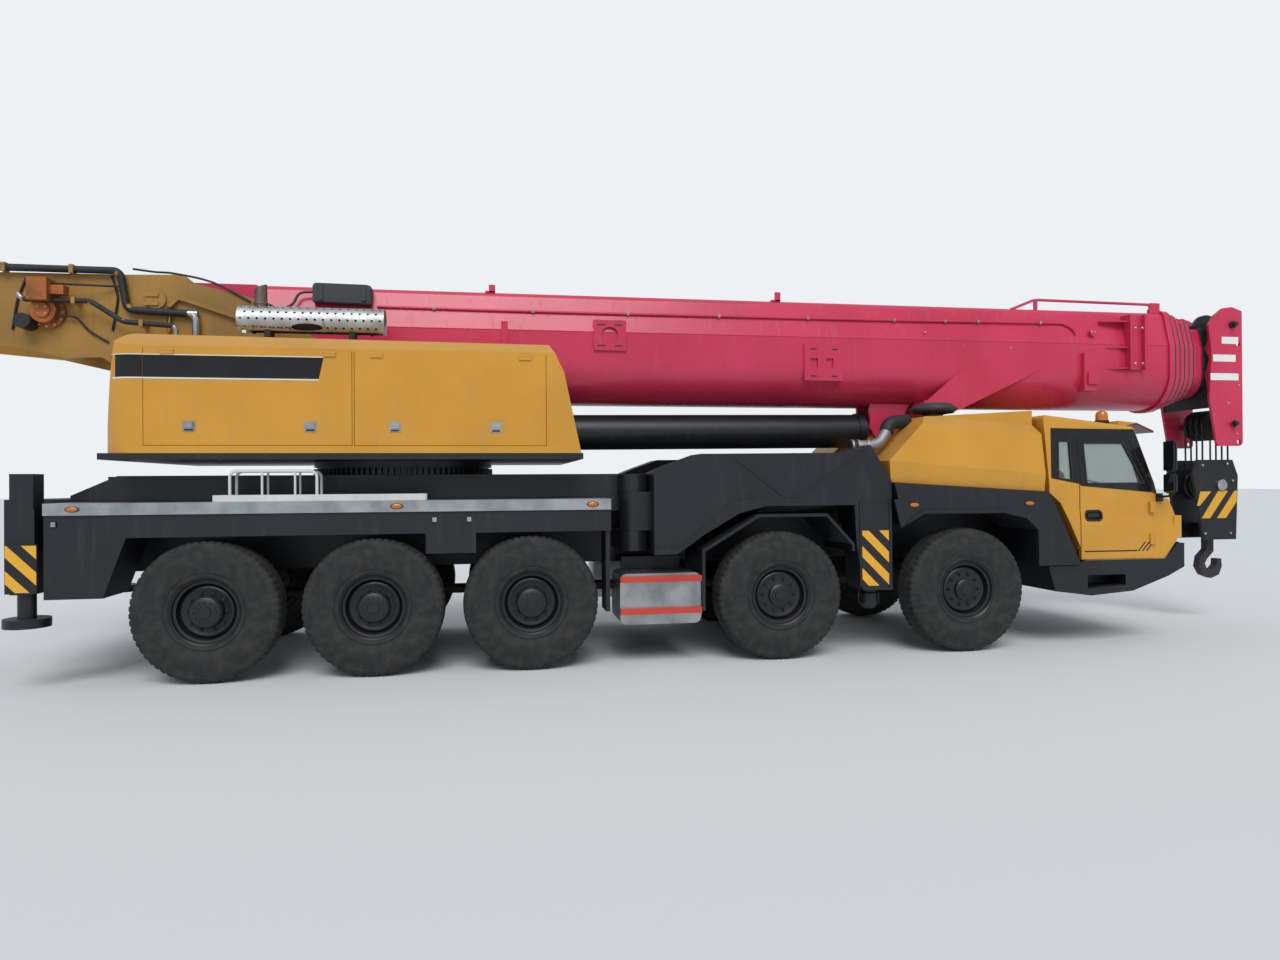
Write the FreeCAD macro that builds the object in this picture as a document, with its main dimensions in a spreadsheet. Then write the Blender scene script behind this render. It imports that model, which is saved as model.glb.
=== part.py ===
import FreeCAD, Part
import Sketcher
import math
import os
import re

# Five-axle mobile crane with a six-part telescoping boom
# X points forward, Y to the left and Z up, in millimetres; the ground is at zero height

Vector = FreeCAD.Vector
Rotation = FreeCAD.Rotation
document = FreeCAD.newDocument("MobileCrane")

# Driving dimensions: name and value
SIZES = [
    ("tail_length", 2559), ("half_width", 1475),
    ("axle_1", 3209), ("axle_2", 1094), ("axle_3", -1491), ("axle_4", -3004), ("axle_5", -4517),
    ("tyre_radius", 670), ("tyre_width", 385), ("rim_radius", 318), ("rim_dish", 95),
    ("hub_radius", 150), ("stub_radius", 60), ("shaft_radius", 55),
    ("king_pin", 980), ("pin_radius", 35), ("knuckle_radius", 75), ("knuckle_height", 220),
    ("fork_plate", 40), ("axle_radius", 95), ("final_drive", 230), ("nose", 80),
    ("fit_gap", 0.05), ("seat_gap", 0.3), ("part_gap", 5), ("pane", 8), ("wall", 45),
    ("frame_back", -5900), ("frame_front", 5560), ("frame_low", 980), ("frame_top", 1955),
    ("frame_dip", 3860), ("frame_dip_low", 740), ("frame_half", 450), ("frame_wide", 880),
         ("wide_front", 2290), ("over_tyre", 220),
    ("deck_back", -5875), ("deck_front", -695), ("deck_top", 1700), ("deck_low", 1267),
    ("strip_low", 1590), ("strip_thick", 14), ("cabinet_low", 827),
    ("cabinet_front", -5386), ("cabinet_lip", -5191), ("locker_back", -2510), ("locker_front", -2030),
    ("locker_low", 1180), ("flap_low", 560),
    ("hinge_x", -395), ("hinge_y", 1040), ("hinge_radius", 150), ("hinge_pin", 60),
    ("lug_top_low", 1764), ("lug_top", 1944), ("lug_low_top", 1357), ("lug_low", 1145),
    ("arm_inner", 935), ("arm_outer", 1400), ("rib_out", 9),
    ("arm_end", 2360), ("jack_wall", 333), ("arm_end_low", 690), ("arm_peak", 2244),
    ("jack_radius", 95), ("jack_tall", 1400), ("ball_low", 475), ("ball_radius", 110),
    ("guard_back", 250), ("guard_front", 1910), ("guard_drop", 85), ("guard_under", 40), ("guard_skin", 30),
         ("flare", 600),
    ("hinge_barrel", 13), ("hinge_out", 16), ("lid_barrel", 8), ("lid_out", 10),
    ("rear_box_back", -6480), ("rear_box_low", 1230), ("rear_box_top", 1730), ("beam_wide", 210),
    ("beam_high", 330), ("beam_right_x", -6048), ("beam_left_x", -6320), ("rear_jack_top", 1970),
    ("rear_jack_out", 1470), ("rear_jack_wide", 195), ("rear_jack_low", 660), ("rear_jack_radius", 75),
    ("slew_x", -2833), ("ring_radius", 970), ("ring_inner", 760), ("ring_top", 2100),
    ("ring_height", 145), ("tooth_deep", 34), ("tooth_high", 70), ("table_thick", 60), ("cheek_inner", 495),
         ("cheek", 40),
    ("pivot_x", -5241), ("pivot_z", 3757), ("pivot_radius", 95), ("lift_x", -3350), ("lift_z", 2430),
    ("lift_pin", 60), ("tail_low", 3289), ("tail_top", 3997),
    ("house_back", -5455), ("house_front", -962), ("house_top", 3300), ("house_out", 1395),
    ("house_bevel", 190), ("house_wall", 30), ("house_split", -3190), ("lid_low", 2230),
    ("lid_top", 3140), ("lid_back", -5065), ("lid_front", -1330), ("bevel_line", 3165), ("house_corner", 300),
    ("house_crown", 150), ("left_front", -2950),
    ("boom_low", 2762), ("boom_top", 3985), ("boom_half", 475), ("boom_front", 6636),
    ("boom_wall", 12), ("boom_step", 36), ("round_top", 90), ("round_low", 455),
    ("seam_z", 3550), ("boom_lean", 105), ("collar", 73), ("collar_pitch", 97), ("collar_lip", 56),
         ("boom_foot", -4300),
    ("side_plate", 32), ("bracket_x", 5953), ("bracket_low", 3230), ("bracket_top", 3915),
         ("bracket_wide", 234),
    ("rail_top", 4105),
    ("head_back", 7202), ("head_front", 7698), ("head_low", 2285), ("head_high", 4077),
    ("head_half", 420), ("head_plate", 35), ("head_pin", 45), ("head_round", 60),
    ("rod_x", 2860), ("rod_z", 2480), ("barrel_radius", 205), ("rod_radius", 150),
    ("ear_inner", 160), ("ear", 45), ("gland_x", 2640),
    ("hood_back", 2340), ("hood_front", 4190), ("hood_top_back", 2571), ("hood_top_front", 2650),
    ("hood_slope", 500), ("hood_half", 1400), ("hood_skin", 40),
    ("hood_lean", 70), ("hood_crease", 2084), ("crease_slope", 4.8), ("hood_round", 70), ("intake_x", 3120),
         ("engine_back", 2700), ("engine_half", 380), ("wing_back", 2365), ("wing_high", 1845),
         ("wing_top", 1732), ("channel_half", 500), ("channel_low", 2150),
    ("cab_back", 4260), ("cab_half", 1380), ("roof_back", 2602), ("roof_front", 2473),
    ("roof_front_x", 5390), ("sill_x", 5629), ("pane_tall", 687), ("nose_x", 5868), ("nose_drop", 32),
    ("cab_low", 955), ("seat_x", 4760), ("seat_y", 800), ("steer_radius", 210), ("well_front", 4700),
         ("well_top", 1600), ("lean", 130), ("belt_up", 37), ("line_low", 1432),
    ("line_high", 150), ("line_deep", 16), ("line_slope", 6.5), ("cab_round", 55),
    ("handle_z", 1455), ("handle_deep", 32),
    ("door_back", 4643), ("door_front", 5560), ("door_top", 2350), ("door_low", 965),
    ("bumper_front", 5938), ("bumper_low", 560), ("bumper_top", 1130), ("step_back", 4300),
    ("step_top", 900), ("step_deep", 250), ("chin_x", 5724), ("bumper_room", 700),
    ("tank_back", -600), ("tank_front", 244), ("tank_low", 414), ("tank_top", 931),
    ("tank_inner", 820), ("block_front", 7800), ("block_back", 7130), ("block_top", 2112),
    ("block_low", 1068), ("block_half", 235), ("hang_x", 7548), ("hang_z", 2571),
    ("groove", 180), ("flange", 20), ("rope", 11), ("jib_pin", 30), ("jib_x", 7640), ("jib_low", 2340),
         ("jib_high", 3600),
    ("muffler_back", -4333), ("muffler_front", -2936), ("muffler_radius", 140), ("muffler_z", 3500),
    ("muffler_y", 950), ("shield_skin", 4), ("stub_bore", 52), ("drum_back", 999), ("drum_z", 3600),
         ("brace_out", 50),
    ("hose_radius", 36), ("hose_out", 52), ("drum_radius", 190),
    ("room_back", -2700), ("room_front", -950), ("room_inner", 600), ("room_top", 3700), ("room_sill", 2850),
         ("room_seat", -2250),
]


def make_sheet():
    """Write every driving dimension to the spreadsheet as a named cell."""
    sheet = document.addObject("Spreadsheet::Sheet", "Sizes")
    for row, (name, value) in enumerate(SIZES, 1):
        cell = "A%d" % row
        sheet.set(cell, str(value))
        sheet.setAlias(cell, name)
    document.recompute()
    return sheet


sheet = make_sheet()
# Places that follow from the sizes above
FOLLOWING = {"tail_end": "(pivot_x - tail_length)", "drum_x": "(pivot_x - drum_back)",
             "wide_low": "(2 * tyre_radius + over_tyre)",
             "guard_top": "(2 * tyre_radius + over_tyre - guard_under)",
             "arm_under": "(2 * tyre_radius + over_tyre - guard_under + guard_drop)",
             "sill": "(door_top - pane_tall)", "belt": "(door_top - pane_tall + belt_up)",
             "nose_top": "(door_top - pane_tall - nose_drop)"}
NAMES = {name for name, value in SIZES}
WORD = re.compile(r"[a-z_][a-z_0-9]*")
nodes = []


def bound(formula):
    """Turn a formula in size names into one that reads the spreadsheet's cells."""
    formula = WORD.sub(lambda m: FOLLOWING.get(m.group(0), m.group(0)), str(formula))
    return WORD.sub(lambda m: "Sizes." + m.group(0) if m.group(0) in NAMES else m.group(0), formula)


def number(formula):
    """Work a formula in size names out from the spreadsheet."""
    total = document.addObject("App::FeaturePython", "Reading")
    total.addProperty("App::PropertyFloat", "Result")
    total.setExpression("Result", bound(formula))
    total.recompute()
    result = total.Result
    document.removeObject(total.Name)
    return result


def place(thing, x, y, z):
    """Bind the place of a primitive to formulas."""
    for letter, formula in (("x", x), ("y", y), ("z", z)):
        thing.setExpression("Placement.Base." + letter, bound(formula))
    return thing


def block(x1, x2, y1, y2, z1, z2):
    """A box between two corners."""
    thing = document.addObject("Part::Box", "Block")
    thing.setExpression("Length", bound("(%s) - (%s)" % (x2, x1)))
    thing.setExpression("Width", bound("(%s) - (%s)" % (y2, y1)))
    thing.setExpression("Height", bound("(%s) - (%s)" % (z2, z1)))
    return place(thing, x1, y1, z1)


TURNS = {"z": Rotation(), "x": Rotation(Vector(0, 1, 0), 90), "y": Rotation(Vector(1, 0, 0), -90)}


def rod(axis, x, y, z, radius, length):
    """A cylinder along one axis, from the given point in the positive direction."""
    thing = document.addObject("Part::Cylinder", "Rod")
    thing.setExpression("Radius", bound(radius))
    thing.setExpression("Height", bound(length))
    thing.Placement = FreeCAD.Placement(Vector(), TURNS[axis])
    return place(thing, x, y, z)


PLANES = {"side": ("XZ_Plane", -1), "front": ("YZ_Plane", 1), "plan": ("XY_Plane", 1)}


def outline(body, view, points, start):
    """A closed sketch of straight lines whose corners are bound to formulas."""
    role, sign = PLANES[view]
    sketch = body.newObject("Sketcher::SketchObject", "Outline")
    plane = [item for item in body.Origin.OriginFeatures if item.Role == role][0]
    sketch.AttachmentSupport = (plane, [""])
    sketch.MapMode = "FlatFace"
    sketch.setExpression("AttachmentOffset.Base.z", bound("%d * (%s)" % (sign, start)))
    corners = [Vector(number(a), number(b), 0) for a, b in points]
    for index, corner in enumerate(corners):
        sketch.addGeometry(Part.LineSegment(corner, corners[(index + 1) % len(corners)]))
    for index in range(len(corners)):
        sketch.addConstraint(Sketcher.Constraint("Coincident", index, 2, (index + 1) % len(corners), 1))
    for index, (corner, (a, b)) in enumerate(zip(corners, points)):
        for kind, value, formula in (("DistanceX", corner.x, a), ("DistanceY", corner.y, b)):
            row = sketch.addConstraint(Sketcher.Constraint(kind, -1, 1, index, 1, value))
            sketch.setExpression("Constraints[%d]" % row, bound(formula))
    return sketch


def prism(view, points, start, end, rounds=()):
    """A body padded from an outline; side outlines run in X and Z, front in Y and Z, plan in X and Y."""
    body = document.addObject("PartDesign::Body", "Prism")
    pad = body.newObject("PartDesign::Pad", "Pad")
    pad.Profile = outline(body, view, points, start)
    pad.setExpression("Length", bound("(%s) - (%s)" % (end, start)))
    pad.Reversed = view == "side"
    document.recompute()
    for radius, test in rounds:
        edges = ["Edge%d" % n for n, edge in enumerate(body.Shape.Edges, 1) if test(edge)]
        base = body.Tip
        fillet = body.newObject("PartDesign::Fillet", "Round")
        fillet.Base = (base, edges)
        fillet.setExpression("Radius", bound(radius))
        body.Tip = fillet
        document.recompute()
    return body


def spun(points, x, y, z, axis="y"):
    """A body turned about an axis; the outline's corners are distance along the axis and radius."""
    body = document.addObject("PartDesign::Body", "Spun")
    sketch = outline(body, "plan", points, 0)
    turn = body.newObject("PartDesign::Revolution", "Turn")
    turn.Profile = sketch
    turn.ReferenceAxis = (sketch, ["H_Axis"])
    turn.Angle = 360
    turning = {"x": Rotation(), "y": Rotation(Vector(0, 0, 1), 90), "z": Rotation(Vector(0, 1, 0), -90),
               "out": Rotation(Vector(0, 0, 1), -90)}
    body.Placement = FreeCAD.Placement(Vector(), turning[axis])
    return place(body, x, y, z)


def fuse(*things):
    """Things joined to one solid."""
    if len(things) == 1:
        return things[0]
    joined = document.addObject("Part::MultiFuse", "Joined")
    joined.Shapes = list(things)
    joined.Refine = True
    return joined


def cut(thing, *tools):
    """A thing with tools cut away."""
    result = document.addObject("Part::Cut", "Cut")
    result.Base = thing
    result.Tool = fuse(*tools)
    result.Refine = True
    return result


def common(thing, other):
    """What two things share."""
    result = document.addObject("Part::Common", "Shared")
    result.Base = thing
    result.Tool = other
    return result


def group(*things):
    """Solids of one piece that don't touch."""
    result = document.addObject("Part::Compound", "Group")
    result.Links = list(things)
    return result


def rounded(thing, *rounds):
    """A thing with edges rounded; each entry holds a radius and a test that picks the edges."""
    for radius, test in rounds:
        document.recompute()
        size = number(radius)
        result = document.addObject("Part::Fillet", "Rounded")
        result.Base = thing
        result.Edges = [(place, size, size) for place, edge in enumerate(thing.Shape.Edges, 1) if test(edge)]
        thing = result
    return thing


def runs(edge, axis):
    """Whether an edge is straight along an axis."""
    return abs(getattr(edge.tangentAt(edge.FirstParameter), axis)) > 0.999


def tilted(points, x, z, length, slope):
    """A long prism whose front-view outline is swept forward and downward by a slope in degrees."""
    thing = prism("front", points, 0, length)
    thing.Placement = FreeCAD.Placement(Vector(), Rotation(Vector(0, 1, 0), number(slope)))
    return place(thing, x, 0, z)


def tube(points, radius, bend):
    """A round bar or hose along a bent line with rounded corners."""
    spots = [Vector(*[number(part) for part in point]) for point in points]
    edges = []
    start = spots[0]
    for before, corner, after in zip(spots, spots[1:], spots[2:]):
        back = (before - corner).normalize()
        ahead = (after - corner).normalize()
        first = corner + back * bend
        last = corner + ahead * bend
        half = back.getAngle(ahead) / 2
        middle = corner + (back + ahead).normalize() * bend * (1 - math.sin(half)) / math.cos(half)
        edges.append(Part.makeLine(start, first))
        edges.append(Part.Arc(first, middle, last).toShape())
        start = last
    edges.append(Part.makeLine(start, spots[-1]))
    ring = Part.makeCircle(number(radius), spots[0], spots[1] - spots[0])
    thing = document.addObject("Part::Feature", "Tube")
    thing.Shape = Part.Wire(edges).makePipeShell([Part.Wire(ring)], True, False)
    return thing


def mirrored(thing):
    """The same thing on the other side of the machine."""
    result = document.addObject("Part::Mirroring", "Mirrored")
    result.Source = thing
    result.Normal = (0, 1, 0)
    return result


def node(label, thing):
    """Name a finished sub-part."""
    thing.Label = label
    nodes.append(thing)
    return thing


def both_sides(label, thing):
    """Name a right-hand sub-part and its left-hand twin."""
    node(label + "_right", thing)
    node(label + "_left", mirrored(thing))


# Chassis


def chassis_frame():
    """Box frame, wider above the wheels, with the hinge lugs of the arms and the rear outrigger box."""
    low = prism("side", [("frame_back", "frame_low + 250"), ("frame_back + 300", "frame_low"),
                         ("frame_dip", "frame_low"), ("frame_dip + 250", "frame_dip_low"),
                         ("frame_front", "frame_dip_low"), ("frame_front", "cab_low - seat_gap"),
                         ("frame_dip + 500", "cab_low - seat_gap"), ("frame_dip + 480", "frame_low + 300"),
                         ("hood_front - 600", "wide_low"), ("frame_back", "wide_low")],
                "-frame_half", "frame_half")
    high = prism("side", [("frame_back", "wide_low"), ("wide_front", "wide_low"),
                          ("wide_front", "frame_top"), ("frame_back + 420", "frame_top"),
                          ("frame_back", "frame_top - 190")], "-frame_wide", "frame_wide")
    rear = block("rear_box_back", "frame_back", "-frame_wide", "frame_wide", "rear_box_low", "rear_box_top")
    tunnels = []
    for x in ("beam_right_x", "beam_left_x"):
        tunnels.append(block(x + " - beam_wide / 2 - seat_gap", x + " + beam_wide / 2 + seat_gap",
                             "-frame_wide - 1", "frame_wide + 1",
                             "(rear_box_low + rear_box_top - beam_high) / 2 - seat_gap",
                             "(rear_box_low + rear_box_top + beam_high) / 2 + seat_gap"))
    lugs = []
    for low_z, high_z in (("lug_low", "lug_low_top"), ("lug_top_low", "lug_top")):
        for side in ("-", ""):
            eye = rod("z", "hinge_x", side + "hinge_y", low_z, "hinge_radius", "%s - (%s)" % (high_z, low_z))
            y1, y2 = ("-hinge_y", "-frame_half") if side else ("frame_half", "hinge_y")
            lugs += [eye, block("hinge_x - hinge_radius", "hinge_x + hinge_radius", y1, y2, low_z, high_z)]
    bores = []
    for side in ("-", ""):
        bores.append(rod("z", "hinge_x", side + "hinge_y", "lug_low - 1", "hinge_pin + fit_gap",
                         "lug_top - lug_low + 2"))
    return cut(fuse(low, high, rear, *lugs), *(tunnels + bores))


def axle_parts():
    """Five axle beams with their drive housings, struts and shafts, and the engine block ahead."""
    things = []
    for name, steered in (("axle_1", True), ("axle_2", True), ("axle_3", False), ("axle_4", False),
                          ("axle_5", False)):
        if steered:
            reach = "king_pin - knuckle_radius - 20"
        else:
            reach = "half_width - tyre_width - 15"
        parts = [rod("y", name, "-(%s)" % reach, "tyre_radius", "axle_radius", "2 * (%s)" % reach),
                 spun([("-final_drive", 0), ("-final_drive / 2", "final_drive"),
                       ("final_drive / 2", "final_drive"),
                       ("final_drive", 0)], name, 0, "tyre_radius"),
                 rod("x", name + " - final_drive - nose", 0, "tyre_radius", "nose",
                     "2 * (final_drive + nose)")]
        for side in ("-", ""):
            parts.append(rod("z", name, side + "340", "tyre_radius", 60,
                             "frame_low - tyre_radius - seat_gap"))
            if steered:
                for z in ("tyre_radius + knuckle_height / 2 + 2",
                          "tyre_radius - knuckle_height / 2 - 2 - fork_plate"):
                    y1, y2 = ("-king_pin", "-king_pin + 260") if side else ("king_pin - 260", "king_pin")
                    parts.append(block(name + " - 60", name + " + 60", y1, y2, z, "(%s) + fork_plate" % z))
                    parts.append(rod("z", name, side + "king_pin", z, 60, "fork_plate"))
                y1, y2 = ("-king_pin + 120", "-king_pin + 260") if side else \
                         ("king_pin - 260", "king_pin - 120")
                parts.append(block(name + " - 60", name + " + 60", y1, y2,
                                   "tyre_radius - knuckle_height / 2 - 2 - fork_plate",
                                   "tyre_radius + knuckle_height / 2 + 2 + fork_plate"))
            else:
                y = "-half_width + tyre_width + 15 - 200" if side else "half_width - tyre_width - 15"
                parts.append(rod("y", name, y, "tyre_radius", "shaft_radius", 200))
        beam = fuse(*parts)
        if steered:
            holes = [rod("z", name, side + "king_pin", "tyre_radius - knuckle_height",
                         "pin_radius + fit_gap", "2 * knuckle_height") for side in ("-", "")]
            beam = cut(beam, *holes)
        things.append(beam)
    shafts = []
    for back, front in (("axle_5", "axle_4"), ("axle_4", "axle_3"), ("axle_3", "axle_2"),
                        ("axle_2", "axle_1")):
        start = back + " + final_drive + nose + seat_gap"
        shafts.append(rod("x", start, 0, "tyre_radius", "shaft_radius",
                          "%s - final_drive - nose - seat_gap - (%s)" % (front, start)))
    return node("axles_and_driveline", group(*(things + shafts)))


def side_decks():
    """Deck plates, skirts with arches, the rear cabinets and the locker between the wheels."""
    deck = block("deck_back", "deck_front", "-half_width + 20", "-frame_wide - seat_gap", "strip_low",
                 "deck_top - 20")
    skirt = prism("side", [("deck_back", "cabinet_low"), ("cabinet_front", "cabinet_low"),
                           ("cabinet_lip", "deck_low + 110"), ("cabinet_lip + 60", "deck_low + 110"),
                           ("deck_front", "deck_low + 110"), ("deck_front", "strip_low + 1"),
                           ("deck_back", "strip_low + 1")], "-half_width + 20", "-half_width + 45")
    cabinet = prism("side", [("deck_back", "cabinet_low"), ("cabinet_front", "cabinet_low"),
                             ("cabinet_lip", "deck_low + 110"), ("cabinet_lip", "strip_low + 1"),
                             ("deck_back", "strip_low + 1")], "-half_width + 20", "-frame_wide - seat_gap")
    locker = block("locker_back", "locker_front", "-half_width + 20", "-frame_wide - seat_gap", "locker_low",
                   "strip_low + 1")
    flap = block("deck_front - 50", "deck_front - 8", "-half_width + 45", "-half_width + tyre_width",
                 "flap_low",
                 "deck_low + 111")
    lip = block("deck_front - 50", "deck_front", "-half_width + 20", "-half_width + tyre_width",
                "deck_low + 110", "strip_low + 1")
    latches = []
    for x in ("deck_back + 60", "locker_back + 60", "locker_front - 110"):
        latches.append(block(x, x + " + 50", "-half_width + 10", "-half_width + 21", "strip_low - 110",
                             "strip_low - 50"))
    right = fuse(deck, skirt, cabinet, locker, flap, lip, *latches)
    return node("side_decks", group(right, mirrored(right)))


def deck_trim():
    """Pale edge strips along both decks and the ladder that lies on the right one."""
    strip = block("deck_back", "deck_front", "-half_width", "-half_width + strip_thick", "strip_low",
                  "deck_top")
    cover = block("deck_back", "deck_front", "-half_width", "-frame_wide - 60", "deck_top - 20 + seat_gap",
                  "deck_top")
    edge = fuse(strip, cover)
    ladder = []
    for y in (-1320, -1090):
        ladder.append(block(-4480, -2520, y - 15, y + 15, "deck_top + seat_gap", "deck_top + 62"))
        ladder.append(tube([(-4330, y, "deck_top + 40"), (-4330, y, "deck_top + 290"),
                            (-3540, y, "deck_top + 290"),
                            (-3540, y, "deck_top + 40")], 14, 60))
        for x in (-4040, -3740):
            ladder.append(rod("z", x, y, "deck_top + 40", 11, 250))
    for step in range(7):
        ladder.append(block("-4420 + 290 * %d" % step, "-4385 + 290 * %d" % step, -1320, -1090,
                            "deck_top + 12", "deck_top + 46"))
    return node("deck_trim", group(edge, mirrored(edge), fuse(*ladder)))


def wing_side():
    """Front wing with its arch and the mudguard over the second axle, right side."""
    wing = prism("side", [("wing_back", "wing_high"), ("hood_front", "wing_top"), (4235, 1661), (4583, 914),
                          (4048, 914),
                          (4040, 1310), (3900, 1440), (3640, 1500), (2700, 1500), (2480, 1380),
                          (2400, 1700)], "-half_width + 20", "-770")
    inner = prism("side", [(2440, 1780), (4140, 1690), (4190, 1620), (4480, 939), (4108, 939),
                           (4100, 1310), (3950, 1500), (3640, 1560), (2700, 1560), (2540, 1480),
                           (2450, 1700)],
                  "-half_width + 45", "-700")
    lip = prism("side", [(4053, 914), (4045, 1312), (3903, 1444), (3641, 1505), (2698, 1505), (2476, 1384),
                         (2405, 1660), (2352, 1660), (2430, 1352), (2680, 1546), (3655, 1546), (3935, 1478),
                         (4086, 1334), (4096, 914)], "-half_width", "-half_width + 32")
    top = "guard_top"
    back_bend = "(%s) - 360" % top
    front_bend = "(%s) - 322" % top
    guard_outer = prism("side", [("guard_back", "tank_low + 126"), ("guard_back", back_bend),
                                 ("guard_back + flare", top),
                                 ("guard_front - flare / 2", top), ("guard_front", front_bend),
                                 ("guard_front", front_bend + " - 78"),
                                 ("guard_front - guard_skin", front_bend + " - 78"),
                                 ("guard_front - guard_skin", front_bend + " - 12"),
                                 ("guard_front - flare / 2 - 12", "(%s) - guard_skin" % top),
                                 ("guard_back + flare + 9", "(%s) - guard_skin" % top),
                                 ("guard_back + guard_skin", back_bend + " - 17"),
                                 ("guard_back + guard_skin", "tank_low + 126")],
                        "-half_width + 20", "-frame_half - 200")
    bracket = block("axle_1 - 100", "axle_1 + 100", -850, "-frame_half - seat_gap", 1510, 1550)
    return fuse(cut(wing, inner), bracket, lip), guard_outer


def front_wings():
    """Both front wings and the mudguards of the second axle."""
    wing, guard = wing_side()
    stay = block("axle_2 - 60", "axle_2 + 60", "-frame_half - 400", "-frame_half - seat_gap",
                 "guard_top - 20", "guard_top + 20")
    guard = fuse(guard, stay)
    return node("front_wings", group(wing, guard, mirrored(wing), mirrored(guard)))


def hood_wedges(inset):
    """Wedges that lean the hood's sides in above and below its slanted crease."""
    wedges = []
    for side in ("-", ""):
        above = [("hood_half + 60", "0"), ("hood_half - %s" % inset, "0"),
                 ("hood_half - hood_lean - %s" % inset, "450 - %s" % inset),
                 ("hood_half - hood_lean - 170 - %s" % inset, "560 - %s" % inset),
                 ("hood_half - hood_lean - 170 - %s" % inset, "900"), ("hood_half + 60", "900")]
        below = [("hood_half + 60", "0"), ("hood_half - %s" % inset, "0"),
                 ("hood_half - 45 - %s" % inset, "-330"), ("hood_half + 60", "-330")]
        for points in (above, below):
            corners = [("%s(%s)" % (side, y), z) for y, z in points]
            wedges.append(tilted(corners, "hood_back - 60", "hood_crease", "hood_front - hood_back + 120",
                                 "crease_slope"))
    return wedges


def engine_hood():
    """Hollow hood behind the cab, with the channel that the boom's bracket lies in."""
    profile = [("wing_back", "wing_high + seat_gap"), ("hood_back", 2079),
               ("hood_back + hood_slope", "hood_top_back"),
               ("hood_front", "hood_top_front"), ("hood_front", "wing_top + seat_gap")]
    inner = [("hood_back + 60", 1840), ("hood_back + 40", 2070),
             ("hood_back + hood_slope + 15", "hood_top_back - 40"),
             ("hood_front - 40", "hood_top_front - 40"), ("hood_front - 40", 1730)]
    outer = prism("side", profile, "-hood_half", "hood_half",
                  [("hood_round", lambda edge: runs(edge, "y") and 2500 < edge.CenterOfMass.z
                    and edge.CenterOfMass.x < 3000)])
    rooms = fuse(prism("side", inner, "-hood_half + hood_skin", "-channel_half - 30"),
                 prism("side", inner, "channel_half + 30", "hood_half - hood_skin"))
    channel = block("hood_back - 10", "hood_front + 10", "-channel_half", "channel_half", "channel_low", 3000)
    under = prism("side", [("hood_back - 10", 1700), ("hood_back - 10", "channel_low - 40"),
                           ("hood_front - 40", "channel_low - 40"), ("hood_front - 40", 1700)],
                  "-channel_half - 31", "channel_half + 31")
    solid = cut(outer, channel, *hood_wedges("0"))
    return node("engine_hood", cut(solid, cut(rooms, *hood_wedges("hood_skin")), under))


def cab_profile(inset):
    """The cab's side outline, moved inward by a wall."""
    return [("well_front + %s" % inset, "cab_low + %s" % inset),
            ("cab_back + 140 + %s" % inset, "well_top + %s" % inset),
            ("cab_back + %s" % inset, "well_top + 120"), ("cab_back + %s" % inset, "roof_back - %s" % inset),
            ("roof_front_x - %s" % inset, "roof_front - %s" % inset), ("sill_x - %s" % inset, "sill"),
            ("nose_x - 100 - %s" % inset, "nose_top - %s" % inset), ("nose_x - %s" % inset, "nose_top - 216"),
            ("nose_x - %s" % inset, "cab_low + 221"), ("nose_x - 168 - %s" % inset, "cab_low + %s" % inset)]


def cab_sides(inset):
    """Wedges that give the cab its leaning sides."""
    wedges = []
    for side in ("-", ""):
        wedges.append(prism("front", [(side + "(cab_half + 200)", "belt"),
                                      (side + "(cab_half - %s)" % inset, "belt"),
                                      (side + "(cab_half - lean - %s)" % inset, "roof_back + 40"),
                                      (side + "(cab_half + 200)", "roof_back + 40")], "cab_back - 10",
                            "nose_x + 10"))
    return wedges


def door_outline(gap, hinge_gap):
    """The driver's door in the side view, moved outward by a gap, less at its hinge."""
    return [("door_back - 2.5 * %s" % gap, "door_low - %s" % gap),
            ("door_back - 2.5 * %s" % gap, "door_top + %s" % gap),
            ("roof_front_x - 100 + %s" % gap, "door_top + %s" % gap),
            ("door_front + %s" % hinge_gap, "sill + 60"),
            ("door_front + %s" % hinge_gap, "door_low - %s" % gap)]


def cab_side(inner, gap):
    """The leaning side wall of the cab as a slab, right side."""
    return prism("front", [("-cab_half - 1", "cab_low - 20"), ("-cab_half + %s" % inner, "cab_low - 20"),
                           ("-cab_half + %s" % inner, "belt"),
                           ("-cab_half + lean + %s" % inner, "roof_back + 40"),
                           ("-cab_half + lean - 1", "roof_back + 40"), ("-cab_half - 1", "belt")],
                 "door_back - 50", "nose_x" + gap)


def cab_lines():
    """Shallow recesses over the slanted body line of both cab sides."""
    recesses = []
    for side in ("-", ""):
        corners = [("%s(%s)" % (side, y), z) for y, z in (("cab_half + 20", "0"), ("cab_half", "0"),
                                                         ("cab_half - line_deep", "line_high"),
                                                         ("cab_half - line_deep", "520"),
                                                          ("cab_half + 20", "520"))]
        recesses.append(tilted(corners, "cab_back - 40", "line_low", "nose_x - cab_back + 100", "line_slope"))
    return recesses


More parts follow.
